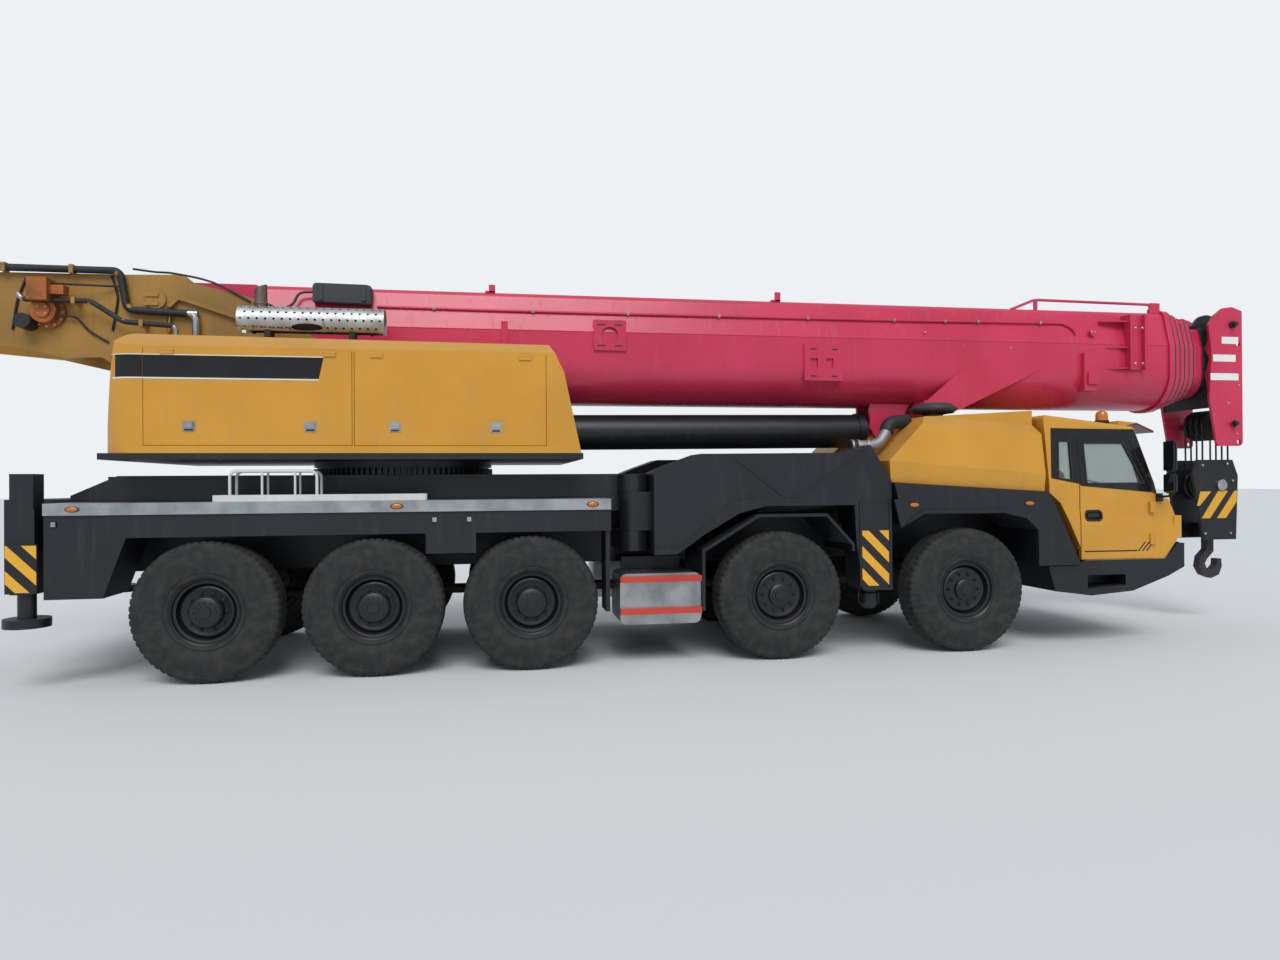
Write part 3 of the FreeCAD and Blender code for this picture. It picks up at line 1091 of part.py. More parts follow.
def operator_cab():
    """Operator's cab at the left front of the turntable, with its sliding door, glass and seat."""
    outer = prism("side", room_profile("0"), "room_inner", "house_out")
    inner = prism("side", room_profile("wall"), "room_inner + wall", "house_out - wall")
    door = [("room_back + 700", "room_sill - 600"), ("room_back + 700", "room_top - 100"),
            ("room_front - 440", "room_top - 100"), ("room_front - 180", "room_sill - 110"),
            ("room_front - 180", "room_sill - 600")]
    door_hole = [("room_back + 740", "room_sill - 560"), ("room_back + 740", "room_top - 140"),
                 ("room_front - 465", "room_top - 140"), ("room_front - 220", "room_sill - 110"),
                 ("room_front - 220", "room_sill - 560")]
    hole = prism("side", door_hole, "house_out - wall - 1", "house_out + 1")

    def panes():
        """Openings of the front, side and roof windows."""
        front = [("room_front - 450", "room_sill - 100"), ("room_front + 50", "room_sill - 100"),
                 ("room_front - 250", "room_top - 80"), ("room_front - 450", "room_top - 80")]
        return [prism("side", front, "room_inner + 90", "house_out - 90"),
                block("room_back + 100", "room_back + 570", "house_out - wall - 1", "house_out + 1",
                      "room_sill", "room_top - 140"),
                block("room_back + 300", "room_front - 500", "room_inner - 1", "room_inner + wall + 1",
                      "room_sill",
                      "room_top - 140"),
                block("room_back + 300", "room_front - 550", "room_inner + 120", "house_out - 120",
                      "room_top - wall - 1",
                      "room_top + 1")]

    floor = "ring_top + table_thick + seat_gap + wall"
    seat = fuse(block("room_seat", "room_seat + 400", "room_inner + 250", "house_out - 215", floor,
                      floor + " + 430"),
                block("room_seat - 80", "room_seat", "room_inner + 250", "house_out - 215", floor,
                      floor + " + 970"))
    shell = cut(cut(outer, inner), hole, *panes())
    node("operator_cab", fuse(shell, seat))
    skin = cut(prism("side", room_profile("16"), "room_inner + 16", "house_out - 16"),
               prism("side", room_profile("(16 + pane)"), "room_inner + 16 + pane", "house_out - 16 - pane"))
    node("operator_glass", common(skin, group(*panes())))
    window = [("room_back + 790", "room_sill"), ("room_back + 790", "room_top - 180"),
              ("room_front - 510", "room_top - 180"),
              ("room_front - 320", "room_sill")]
    runners = []
    for x, z in (("room_front - 180", "room_sill - 600"), ("room_front - 440", "room_top - 130")):
        runners.append(block("room_back + 700", x, "house_out + seat_gap", "house_out + 6", z, z + " + 30"))
    leaf = cut(fuse(prism("side", door, "house_out + 6", "house_out + 36"), *runners),
               prism("side", window, "house_out", "house_out + 40"))
    pane = prism("side", window, "house_out + 16", "house_out + 24")
    node("operator_door", group(leaf, pane))


# Boom


def section_form(step, back, front, inset):
    """One boom section's outer form: round belly, flat sides and a top that leans in above the weld seam."""
    half = "boom_half - %d * boom_step - (%s)" % (step, inset)
    low = "boom_low + %d * boom_step + (%s)" % (step, inset)
    top = "boom_top - %d * boom_step - (%s)" % (step, inset)
    crown = "(%s) - boom_lean * (%s - seam_z) / (boom_top - seam_z)" % (half, top)
    corners = [("-(%s)" % half, low), (half, low), (half, "seam_z"), (crown, top), ("-(%s)" % crown, top),
               ("-(%s)" % half, "seam_z")]
    z_low = number(low)
    z_top = number(top)

    def lower(edge):
        """An edge along the underside."""
        return abs(edge.tangentAt(edge.FirstParameter).x) > 0.99 and abs(edge.CenterOfMass.z - z_low) < 1

    def upper(edge):
        """An edge along the top."""
        return abs(edge.tangentAt(edge.FirstParameter).x) > 0.99 and abs(edge.CenterOfMass.z - z_top) < 1

    return prism("front", corners, back, front,
                 [("round_low - %d * boom_step - (%s)" % (step, inset), lower),
                  ("round_top - %d * boom_step / 3 - (%s) / 3" % (step, inset), upper)])


def boom_tube(step, back, front):
    """A hollow boom section."""
    return cut(section_form(step, back, front, "0"), section_form(step, "(%s) - 10" % back,
                                                                  "(%s) + 10" % front,
                                                                 "boom_wall"))


def boom_collar(step, front):
    """Collar at a section's mouth that guides the next section."""
    ring = section_form(step, "(%s) - collar" % front, front, "-collar_lip / 2")
    return cut(ring, section_form(step + 1, "(%s) - collar - 1" % front, "(%s) + 1" % front, "-seat_gap"))


# Side plates of the boom: back, front, low, top and how far they stand out
BOOM_PLATES = [(-743, -376, 3340, 3680, 26), (1726, 2196, 3038, 3456, 26), (-1760, -1690, 3130, 3640, 20),
               (5335, 5500, 2960, 3425, 60), (5375, 5535, 3040, 3180, 85)]


def boom_plates():
    """Plates and brackets welded on both sides of the base section, reaching into its skin."""
    right = []
    for back, front, low, top, out in BOOM_PLATES:
        right.append(block(back, front, "-boom_half - %d" % out, "-boom_half + 130", low, top))
    window = rod("y", "-743 + 183", "-boom_half - 50", 3510, 95, 60)
    squares = [block(x, x + 90, "-boom_half - 50", "-boom_half + 1", 3190, 3300) for x in (1800, 1990)]
    bracket = prism("plan", [("bracket_x", "-boom_half - side_plate - 60"), ("bracket_x", "-boom_half + 130"),
                             ("bracket_x + bracket_wide", "-boom_half + 130"),
                             ("bracket_x + bracket_wide", "-boom_half - side_plate - 60"),
                             ("bracket_x + bracket_wide - 30", "-boom_half - side_plate - 60"),
                             ("bracket_x + bracket_wide - 30", "-boom_half - side_plate"),
                             ("bracket_x + 30", "-boom_half - side_plate"),
                             ("bracket_x + 30", "-boom_half - side_plate - 60")], "bracket_low",
                    "bracket_top")
    ribs = []
    for z in ("bracket_low + 10", "seam_z - 50", "bracket_top - 90"):
        ribs.append(prism("plan", [("bracket_x - 330", "-boom_half + 1"),
                                   ("bracket_x - 330", "-boom_half + 130"),
                                   ("bracket_x + 1", "-boom_half + 130"),
                                   ("bracket_x + 1", "-boom_half - side_plate - 20")],
                          z, z + " + 16"))
    gusset = prism("side", [(3236, 2788), (3780, 3240), (4780, 3257), (4780, 3215), (3710, 2720),
                            (3420, 2640), (3236, 2640)],
                   "-boom_half - 6", "-boom_half + 20")
    floor = block(3236, 3420, "-boom_half - 5", "boom_half + 5", 2640, "boom_low + 60")
    right = cut(fuse(*(right + [bracket, gusset] + ribs)), window, *squares)
    return [right, mirrored(right), floor]


def boom_rail():
    """Hand rail along the top of the base section, on a foot at each end and a guide plate at the front."""
    rail = tube([(4480, -330, "boom_top - 10"), (4800, -330, "rail_top"), (6430, -330, "rail_top - 14"),
                 (6560, -330, "boom_top - 10")], 17, 60)
    plates = []
    for back, front in ((4795, 4835), (6420, 6560)):
        plates.append(block(back, front, -345, -315, "boom_top - 10", "rail_top + 5"))
    return [rail] + plates


def boom_base():
    """Base section with its foot, the lift bracket's ears and its collar."""
    foot = prism("side", [("pivot_x - 260", "pivot_z - 120"), ("pivot_x - 260", "pivot_z + 150"),
                          ("pivot_x - 150", "boom_top - 20"), ("boom_foot + 5", "boom_top - 20"),
                          ("boom_foot + 5", "boom_low + 40"), ("boom_foot - 200", "boom_low + 250"),
                          ("pivot_x", "pivot_z - 330")], "-boom_half + 30", "boom_half - 30")
    bore = rod("y", "pivot_x", -600, "pivot_z", "pivot_radius + fit_gap", 1200)
    ears = []
    for y1, y2 in (("-ear_inner - ear", "-ear_inner"), ("ear_inner", "ear_inner + ear")):
        ears.append(prism("side", [("rod_x - 195", "boom_low + 200"), ("rod_x - 190", "rod_z + 30"),
                                   ("rod_x - 100", "rod_z - 115"), ("rod_x + 60", "rod_z - 130"),
                                   ("rod_x + 150", "rod_z + 10"), ("rod_x + 420", "boom_low + 200")], y1, y2))
    skin = boom_tube(0, "boom_foot", "boom_front - collar + 1")
    hollow = section_form(0, "boom_foot + 10", "boom_front - 1", "boom_wall")
    fittings = cut(fuse(*(ears + boom_plates())), hollow)
    return node("boom_base", cut(fuse(foot, skin, fittings, boom_collar(0, "boom_front"), *boom_rail()),
                                 bore))


FALLS = (-141, -47, 47, 141)


def sheave(x, y, z):
    """Grooved rope sheave on a pin."""
    return spun([(-28, 40), (-28, "groove + flange"), (-10, "groove"), (10, "groove"),
                 (28, "groove + flange"),
                 (28, 40)], x, y, z)


def boom_sections():
    """Inner sections, each with its collar; the last one carries the head."""
    for step in range(1, 5):
        back = "boom_foot + %d * 60" % (step + 1)
        front = "boom_front + %d * collar_pitch" % step
        node("boom_section_%d" % (step + 1), fuse(boom_tube(step, back, front + " - collar + 1"),
                                                 boom_collar(step, front)))
    tube = boom_tube(5, "boom_foot + 6 * 60", "head_back + 1")
    wrap = cut(section_form(5, "head_back", "head_front - 180", "-20"),
               section_form(5, "head_back - 1", "head_front + 20", "20"))
    cheeks = []
    for y1, y2 in (("-head_half", "-head_half + head_plate"), ("head_half - head_plate", "head_half")):
        cheeks.append(prism("side", [("head_back + 6", 2911), ("head_back + 114", "head_low"),
                                     ("head_front", "head_low"),
                                     ("head_front", "head_high - 50"), ("head_front - 148", "head_high"),
                                     ("head_front - 281", "head_high - 18"),
                                     ("head_back + 90", "head_high - 110"),
                                     ("head_back", "head_high - 238"), ("head_back + 45", 3483)], y1, y2,
                            [("head_round", lambda edge: runs(edge, "y") and edge.CenterOfMass.z < 2400)]))
    ties = [block("head_back + 120", "head_back + 150", "-head_half", "head_half", 3780, 3900),
            block("head_back + 40", "head_back + 80", "-head_half", "head_half", 2780, 3700)]
    pins = []
    for z in ("head_high - 230", "hang_z"):
        pins.append(spun([("-head_half - 75", 0), ("-head_half - 75", 28), ("-head_half - 30", 28),
                          ("-head_half - 30", "head_pin"), ("head_half + 30", "head_pin"),
                          ("head_half + 30", 28),
                          ("head_half + 75", 28), ("head_half + 75", 0)], "hang_x", 0, z))
    bores = [rod("y", "jib_x", "-head_half - 1", z, "jib_pin",
                 "2 * head_half + 2") for z in ("jib_low", "jib_high")]
    seats = [rod("y", "hang_x", "-head_half - 1", z, "head_pin + fit_gap", "2 * head_half + 2")
             for z in ("head_high - 230", "hang_z")]
    sheaves = [fuse(pins[0], sheave("hang_x", 0, "head_high - 230")),
               fuse(pins[1], *[sheave("hang_x", y, "hang_z") for y in FALLS])]
    node("boom_section_6", group(cut(fuse(tube, wrap, *(cheeks + ties)), *(bores + seats)), *sheaves))


def hook_block():
    """Lower block with its sheaves between two plates, and the hook."""
    plates = []
    outline_points = [("block_back", "block_top - 210"), ("block_back + 70", "block_top"),
                      ("block_front - 80", "block_top"), ("block_front", "block_top - 210"),
                      ("block_front - 35", "block_low"), ("block_back + 155", "block_low")]
    for y1, y2 in (("-block_half", "-block_half + 40"), ("block_half - 40", "block_half")):
        plates.append(prism("side", outline_points, y1, y2))
    axle = rod("y", "hang_x", "-block_half", "block_top - 330", 55, "2 * block_half")
    sheaves = [sheave("hang_x", y, "block_top - 330") for y in FALLS]
    ropes = []
    for y in FALLS:
        for side in ("-", "+"):
            ropes.append(rod("z", "hang_x %s (groove + rope + seat_gap)" % side, y, "block_top - 330", "rope",
                             "hang_z - block_top + 330"))
    cross = block("hang_x - 90", "hang_x + 90", "-block_half", "block_half", "block_low + 20",
                  "block_low + 200")
    hook_points = [(-50, 1100), (-50, 930), (-150, 830), (-175, 700), (-110, 590), (14, 542), (130, 590),
                   (175, 700), (165, 800), (100, 800), (95, 720), (40, 665), (-50, 665), (-85, 740),
                   (-50, 800),
                   (50, 900), (50, 1100)]
    hook_form = prism("side", [("hang_x + %d" % x, z) for x, z in hook_points], -50, 50)
    return node("hook_block", group(fuse(axle, cross, hook_form, *(plates + sheaves)), *ropes))


def lift_cylinder():
    """Lift cylinder's barrel on the turntable's pin and its rod, whose eye lies between the boom's ears."""
    length = math.hypot(number("rod_x - lift_x"), number("rod_z - lift_z"))
    tilt = math.degrees(math.atan2(number("rod_z - lift_z"), number("rod_x - lift_x")))
    reach = number("gland_x - lift_x")
    radius = number("barrel_radius")
    pin = number("lift_pin + fit_gap")
    rod_radius = number("rod_radius")
    ear_inner = number("ear_inner")
    gap = number("seat_gap")
    barrel = Part.makeCylinder(radius, reach - 60, Vector(60, 0, 0), Vector(1, 0, 0))
    eye = Part.makeCylinder(170, 300, Vector(0, -150, 0), Vector(0, 1, 0))
    barrel = barrel.fuse(eye)
    barrel = barrel.fuse(Part.makeCylinder(radius + 14, 90, Vector(reach - 90, 0, 0), Vector(1, 0, 0)))
    barrel = barrel.fuse(Part.makeCylinder(radius + 8, 50, Vector(260, 0, 0), Vector(1, 0, 0)))
    barrel = barrel.cut(Part.makeCylinder(pin, 400, Vector(0, -200, 0), Vector(0, 1, 0)))
    hollow = Part.makeCylinder(rod_radius + number("fit_gap"), reach, Vector(400, 0, 0), Vector(1, 0, 0))
    barrel = barrel.cut(hollow)
    stem = Part.makeCylinder(rod_radius, length - 500, Vector(410, 0, 0), Vector(1, 0, 0))
    end = Part.makeCylinder(125, 2 * ear_inner - 2 * gap, Vector(length, -ear_inner + gap, 0),
                            Vector(0, 1, 0))
    stem = stem.fuse(end)
    for label, shape in (("lift_barrel", barrel), ("lift_rod", stem)):
        thing = document.addObject("Part::Feature", label)
        thing.Shape = shape
        thing.Placement = FreeCAD.Placement(Vector(number("lift_x"), 0, number("lift_z")),
                                            Rotation(Vector(0, 1, 0), -tilt))
        node(label, thing)


node("chassis_frame", chassis_frame())
axle_parts()
node("engine_block", block("engine_back", "engine_back + 880", "-engine_half", "engine_half",
                           "wide_low + seat_gap",
                           "channel_low - 70"))
side_decks()
deck_trim()
front_wings()
engine_hood()
cab()
cab_interior()
front_bumper()
mirrors()
fuel_tank()
air_intake()
slew_ring()
for number_text in ("1", "2", "3", "4", "5"):
    for side in ("right", "left"):
        wheel(number_text, side, number_text not in ("1", "2"))
        if number_text in ("1", "2"):
            knuckle(number_text, side)
outrigger_arm()
rear_outriggers()
turntable()
power_housing()
muffler()
winch_drum()
operator_cab()
boom_base()
boom_sections()
hook_block()
lift_cylinder()

document.recompute()
for thing in document.Objects:
    if "Invalid" in thing.State or "Error" in thing.State:
        raise RuntimeError("%s failed: %s" % (thing.Label, thing.State))
for thing in nodes:
    if thing.Shape.isNull() or not thing.Shape.isValid():
        raise RuntimeError("%s has no valid shape" % thing.Label)
os.makedirs("parts", exist_ok=True)
for thing in nodes:
    thing.Shape.exportStep("parts/%s.step" % thing.Label)
    print(thing.Label, len(thing.Shape.Solids), round(thing.Shape.Volume / 1e9, 4))
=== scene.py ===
import math
import bmesh
import bpy
from mathutils import Matrix, Vector


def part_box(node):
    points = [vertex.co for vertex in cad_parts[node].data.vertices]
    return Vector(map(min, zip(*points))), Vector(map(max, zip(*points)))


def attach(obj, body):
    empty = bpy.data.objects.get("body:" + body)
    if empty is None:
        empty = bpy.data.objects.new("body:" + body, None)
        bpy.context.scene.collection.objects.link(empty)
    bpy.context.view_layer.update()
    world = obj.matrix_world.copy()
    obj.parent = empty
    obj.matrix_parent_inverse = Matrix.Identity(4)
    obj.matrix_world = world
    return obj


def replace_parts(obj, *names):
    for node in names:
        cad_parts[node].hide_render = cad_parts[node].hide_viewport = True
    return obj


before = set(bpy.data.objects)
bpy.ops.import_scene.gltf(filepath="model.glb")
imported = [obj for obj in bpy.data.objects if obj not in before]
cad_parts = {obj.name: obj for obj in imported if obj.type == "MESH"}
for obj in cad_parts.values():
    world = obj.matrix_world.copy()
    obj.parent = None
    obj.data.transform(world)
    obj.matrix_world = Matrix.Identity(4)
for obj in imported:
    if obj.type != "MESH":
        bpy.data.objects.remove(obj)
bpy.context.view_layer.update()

# Camera
# The photographer stands ten metres off the crane's right side, a little behind its middle.
# The lens is a phone's wide one, held almost level at eye height.

CAMERA_PLACE = Vector((-1.909, -10.108, 1.848))
CAMERA_YAW = math.radians(9.925)
CAMERA_PITCH = math.radians(0.236)
CAMERA_ROLL = math.radians(-0.364)

ahead = Vector((math.sin(CAMERA_YAW) * math.cos(CAMERA_PITCH),
                math.cos(CAMERA_YAW) * math.cos(CAMERA_PITCH), math.sin(CAMERA_PITCH)))
right = Vector((math.cos(CAMERA_YAW), -math.sin(CAMERA_YAW), 0))
upward = right.cross(ahead)
camera_x = right * math.cos(CAMERA_ROLL) + upward * math.sin(CAMERA_ROLL)
camera_y = upward * math.cos(CAMERA_ROLL) - right * math.sin(CAMERA_ROLL)
camera = bpy.data.objects.new("camera", bpy.data.cameras.new("camera"))
camera.data.lens = 24.38
camera.data.sensor_width = 36
camera.data.clip_end = 400
camera.matrix_world = Matrix((camera_x, camera_y, -ahead)).transposed().to_4x4()
camera.location = CAMERA_PLACE
bpy.context.scene.collection.objects.link(camera)
bpy.context.scene.camera = camera
bpy.context.scene.view_settings.view_transform = "Standard"

# Studio
# A plain pale floor under an even white room, with one broad soft lamp high on the camera's side.
# The room shows white to the camera and through glass, and lights the crane at a plain level.


def linear(code):
    """Turn an sRGB hex colour into the linear one that a shader takes."""
    parts = [int(code[place:place + 2], 16) / 255 for place in (1, 3, 5)]
    return tuple(part / 12.92 if part <= 0.04045 else ((part + 0.055) / 1.055) ** 2.4
                 for part in parts) + (1,)


def add(tree, kind, links=(), to=None, **settings):
    """Add a shader node, set its inputs or properties by name, link its inputs and lead its output on."""
    made = tree.nodes.new(kind)
    for name, value in settings.items():
        if hasattr(made, name):
            setattr(made, name, value)
        else:
            made.inputs[name.replace("_", " ")].default_value = value
    for name, socket in dict(links).items():
        tree.links.new(socket, made.inputs[name])
    if to is not None:
        tree.links.new(made.outputs[0], to)
    return made


def new_material(name):
    """Start a material and return it with its tree and its shader."""
    made = bpy.data.materials.new(name)
    made.use_nodes = True
    return made, made.node_tree, made.node_tree.nodes["Principled BSDF"]


def plain(name, colour, **settings):
    """A finish of one colour, with the shader's other values set by name."""
    made, tree, shader = new_material(name)
    for label, value in dict(settings, Base_Color=linear(colour)).items():
        shader.inputs[label.replace("_", " ")].default_value = value
    return made


FLOOR_REACH = 150
corners = [(x * FLOOR_REACH, y * FLOOR_REACH, -0.001) for x, y in ((-1, -1), (1, -1), (1, 1), (-1, 1))]
floor_mesh = bpy.data.meshes.new("studio_floor")
floor_mesh.from_pydata(corners, [], [(0, 1, 2, 3)])
floor_mesh.materials.append(plain("studio_floor", "#D9DADB", Roughness=0.85))
floor = bpy.data.objects.new("studio_floor", floor_mesh)
bpy.context.scene.collection.objects.link(floor)

room = bpy.data.worlds.new("studio")
room.use_nodes = True
bpy.context.scene.world = room
tree = room.node_tree
tree.nodes.clear()
path = add(tree, "ShaderNodeLightPath")
seen = add(tree, "ShaderNodeMath", {0: path.outputs["Is Camera Ray"],
                                    1: path.outputs["Is Transmission Ray"]}, operation="MAXIMUM")
light = add(tree, "ShaderNodeBackground", Color=linear("#E4EBF2"), Strength=0.62)
show = add(tree, "ShaderNodeBackground", Color=linear("#EEF1F4"), Strength=1.0)
both = add(tree, "ShaderNodeMixShader", {0: seen.outputs[0], 1: light.outputs[0], 2: show.outputs[0]})
add(tree, "ShaderNodeOutputWorld", {"Surface": both.outputs[0]})

lamp = bpy.data.objects.new("soft_lamp", bpy.data.lights.new("soft_lamp", "SUN"))
lamp.data.energy = 1.9
lamp.data.angle = math.radians(35)
lamp.rotation_euler = (math.radians(42), math.radians(-14), math.radians(8))
bpy.context.scene.collection.objects.link(lamp)

# Carrier frame
# The welded steel box frame, deck boxes and rear cabinets, sprayed with a near-black chassis enamel.
# The satin enamel shows road dust on its upper faces and faint rain streaks on its sides.


def noise(tree, coordinate, size_mm, stretch=(1, 1, 1)):
    """Noise whose blots are about the given size in millimetres, stretched along the axes."""
    scaled = add(tree, "ShaderNodeVectorMath", {0: coordinate}, operation="MULTIPLY")
    scaled.inputs[1].default_value = [1 / part for part in stretch]
    return add(tree, "ShaderNodeTexNoise", {"Vector": scaled.outputs[0]}, Scale=1000 / size_mm,
               Detail=5).outputs[0]


def between(tree, value, low, high):
    """Spread the range from low to high over nought to one."""
    return add(tree, "ShaderNodeMapRange", {"Value": value}, From_Min=low, From_Max=high).outputs[0]


def mixed(tree, share, first, second):
    """Mix two colours, each a hex code or a socket, by a share."""
    made = add(tree, "ShaderNodeMix", data_type="RGBA")
    tree.links.new(share, made.inputs["Factor"])
    for place, colour in ((6, first), (7, second)):
        if isinstance(colour, str):
            made.inputs[place].default_value = linear(colour)
        else:
            tree.links.new(colour, made.inputs[place])
    return made.outputs[2]


def sprayed(name, fresh, aged, dust, dust_share, roughness):
    """Sprayed enamel: blotches of age, rain streaks of dust, and orange peel drawn wide enough to show."""
    made, tree, shader = new_material(name)
    place = add(tree, "ShaderNodeTexCoord").outputs["Object"]
    colour = mixed(tree, between(tree, noise(tree, place, 700), 0.35, 0.7), fresh, aged)
    streaks = between(tree, noise(tree, place, 60, (1, 1, 9)), 0.56, 0.8)
    normal = add(tree, "ShaderNodeNewGeometry").outputs["Normal"]
    lying = between(tree, add(tree, "ShaderNodeSeparateXYZ", {0: normal}).outputs["Z"], 0.4, 1.0)
    settled = add(tree, "ShaderNodeMath", {0: streaks, 1: lying}, operation="MAXIMUM").outputs[0]
    patchy = add(tree, "ShaderNodeMath", {0: settled, 1: noise(tree, place, 250)}, operation="MULTIPLY")
    dusty = add(tree, "ShaderNodeMath", {0: patchy.outputs[0]}, operation="MULTIPLY", use_clamp=True)
    dusty.inputs[1].default_value = dust_share
    tree.links.new(mixed(tree, dusty.outputs[0], colour, dust), shader.inputs["Base Color"])
    add(tree, "ShaderNodeMapRange", {"Value": dusty.outputs[0]}, shader.inputs["Roughness"],
        To_Min=roughness, To_Max=0.8)
    add(tree, "ShaderNodeBump", {"Height": noise(tree, place, 9)}, shader.inputs["Normal"],
        Strength=0.05, Distance=0.001)
    return made


def dress(node, finish, *zones, edge=0.004):
    """Give a CAD node its finish, other finishes where a test of a face says so, and softened edges."""
    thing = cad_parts[node]
    for place in thing.material_slots:
        place.material = finish
    for other, test in zones:
        thing.data.materials.append(other)
        for face in thing.data.polygons:
            if test(face.center, face.normal):
                face.material_index = len(thing.data.materials) - 1
    if edge:
        softened = thing.modifiers.new("softened_edges", "BEVEL")
        softened.width = edge
        softened.segments = 2
        softened.angle_limit = math.radians(35)
        softened.harden_normals = True


chassis_enamel = sprayed("chassis_enamel", "#171A21", "#12151B", "#4C4943", 0.4, 0.42)
for node in ("chassis_frame", "side_decks", "slew_ring", "rear_beam_right", "rear_beam_left",
             "rear_jack_right", "rear_jack_left", "outrigger_arm_right", "outrigger_arm_left",
             "outrigger_jack_right", "outrigger_jack_left", "front_wings", "front_bumper",
             "mirrors", "air_intake", "muffler", "cab_interior"):
    dress(node, chassis_enamel)

# Axles, engine and knuckles
# Cast steel axle beams, drive housings and knuckles, left in a dark grey casting primer.
# The sand casting gives a rough mottled skin, dulled by road dirt.


def patched(name, first, second, patch_mm, low, high, roughness, grain_mm=0, strength=0, depth=0.001):
    """A cast, moulded or baked skin: two tones in patches, and a grain where one is given."""
    made, tree, shader = new_material(name)
    place = add(tree, "ShaderNodeTexCoord").outputs["Object"]
    share = between(tree, noise(tree, place, patch_mm), low, high)
    tree.links.new(mixed(tree, share, first, second), shader.inputs["Base Color"])
    shader.inputs["Roughness"].default_value = roughness
    if grain_mm:
        add(tree, "ShaderNodeBump", {"Height": noise(tree, place, grain_mm)}, shader.inputs["Normal"],
            Strength=strength, Distance=depth)
    return made


def cast(name, fresh, dirt, grit_mm=12, metallic=0.35):
    """Sand-cast metal: a gritty skin with dirt in patches."""
    made = patched(name, fresh, dirt, 180, 0.4, 0.75, 0.62, grit_mm, 0.35, 0.002)
    made.node_tree.nodes["Principled BSDF"].inputs["Metallic"].default_value = metallic
    return made


axle_iron = cast("axle_cast_iron", "#2B2C2F", "#4A453D")
engine_iron = cast("engine_cast_iron", "#4A4C4F", "#3A352E")
for node in ("axles_and_driveline", "knuckle_1_right", "knuckle_1_left",
             "knuckle_2_right", "knuckle_2_left"):
    dress(node, axle_iron)
for node in ("engine_block", "upper_engine"):
    dress(node, engine_iron, edge=0.02)

# Deck trim and tanks
# Rolled aluminium strips along the decks, a white ladder, and a tank with red guard rails on each side.
# Brushing and rolling leave fine lines along the length.


def bare_metal(name, fresh, dull, roughness, lines_mm=14):
    """Rolled or drawn bare metal with fine lines along X and dull patches."""
    made, tree, shader = new_material(name)
    place = add(tree, "ShaderNodeTexCoord").outputs["Object"]
    share = between(tree, noise(tree, place, 220), 0.4, 0.72)
    tree.links.new(mixed(tree, share, fresh, dull), shader.inputs["Base Color"])
    shader.inputs["Metallic"].default_value = 1
    lines = noise(tree, place, lines_mm, (40, 1, 1))
    add(tree, "ShaderNodeMapRange", {"Value": lines}, shader.inputs["Roughness"],
        To_Min=roughness * 0.75, To_Max=roughness * 1.3)
    add(tree, "ShaderNodeBump", {"Height": lines}, shader.inputs["Normal"], Strength=0.08, Distance=0.001)
    return made


def in_ladder(spot, normal):
    """Whether a face of the deck trim belongs to the white ladder."""
    return spot.z > 1.704 and -4.5 < spot.x < -2.5 and -1.36 < spot.y < -1.05


deck_aluminium = bare_metal("rolled_aluminium", "#B4B8BC", "#969A9D", 0.42)
tank_aluminium = bare_metal("tank_aluminium", "#B4B7BA", "#8F9190", 0.35)
rail_enamel = sprayed("rail_enamel", "#C8402F", "#B03527", "#6A5A50", 0.6, 0.4)
white_enamel = sprayed("white_enamel", "#DADBDA", "#CFCFCC", "#9A958A", 0.6, 0.35)
dress("deck_trim", deck_aluminium, (white_enamel, in_ladder))
RAIL_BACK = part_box("fuel_tank")[1].y - 0.039
dress("fuel_tank", tank_aluminium,
      (rail_enamel, lambda spot, normal: abs(spot.y) > RAIL_BACK),
      (chassis_enamel, lambda spot, normal: spot.z > 0.94 or abs(spot.y) < 0.8))

# Wheels
# Single wide truck tyres on steel disc rims, five a side; the last three axles drive through hub gears.
# Black rubber dulled by dust, with four ribs and close notches across the shoulders; rims in satin black.

TYRE_HALF = 0.1925
NOTCHES = 60


def piece(name, mesh, finish, body="chassis", angle=35):
    """Turn a modelled mesh into a piece of one finish that rides on a body, smooth below an angle."""
    data = bpy.data.meshes.new(name)
    mesh.to_mesh(data)
    mesh.free()
    data.materials.append(finish)
    data.polygons.foreach_set("use_smooth", [True] * len(data.polygons))
    data.set_sharp_from_angle(angle=math.radians(angle))
    thing = bpy.data.objects.new(name, data)
    bpy.context.scene.collection.objects.link(thing)
    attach(thing, body)
    return thing


def joined(mesh, loops):
    """Add the faces between neighbouring closed loops of as many points."""
    faces = []
    for first, second in zip(loops, loops[1:]):
        for place in range(len(first)):
            after = (place + 1) % len(first)
            faces.append(mesh.faces.new((first[place], first[after], second[after], second[place])))
    return faces


def turned(mesh, profile, centre, axis="y", steps=32, shape=None):
    """Add a form turned about an axis; the profile holds distance along the axis and radius."""
    rings = []
    for index, (along, radius) in enumerate(profile):
        ring = []
        for step in range(steps):
            angle = 2 * math.pi * step / steps
            reach = radius if shape is None else shape(index, step, radius)
            spot = {"x": (along, reach * math.cos(angle), reach * math.sin(angle)),
                    "y": (reach * math.cos(angle), along, reach * math.sin(angle)),
                    "z": (reach * math.cos(angle), reach * math.sin(angle), along)}[axis]
            ring.append(mesh.verts.new(Vector(centre) + Vector(spot)))
        rings.append(ring)
    faces = joined(mesh, rings)
    spots = [spot for ring, (along, radius) in zip(rings, profile) if radius < 0.0005 for spot in ring]
    bmesh.ops.remove_doubles(mesh, verts=spots, dist=0.002)
    bmesh.ops.recalc_face_normals(mesh, faces=[face for face in faces if face.is_valid])


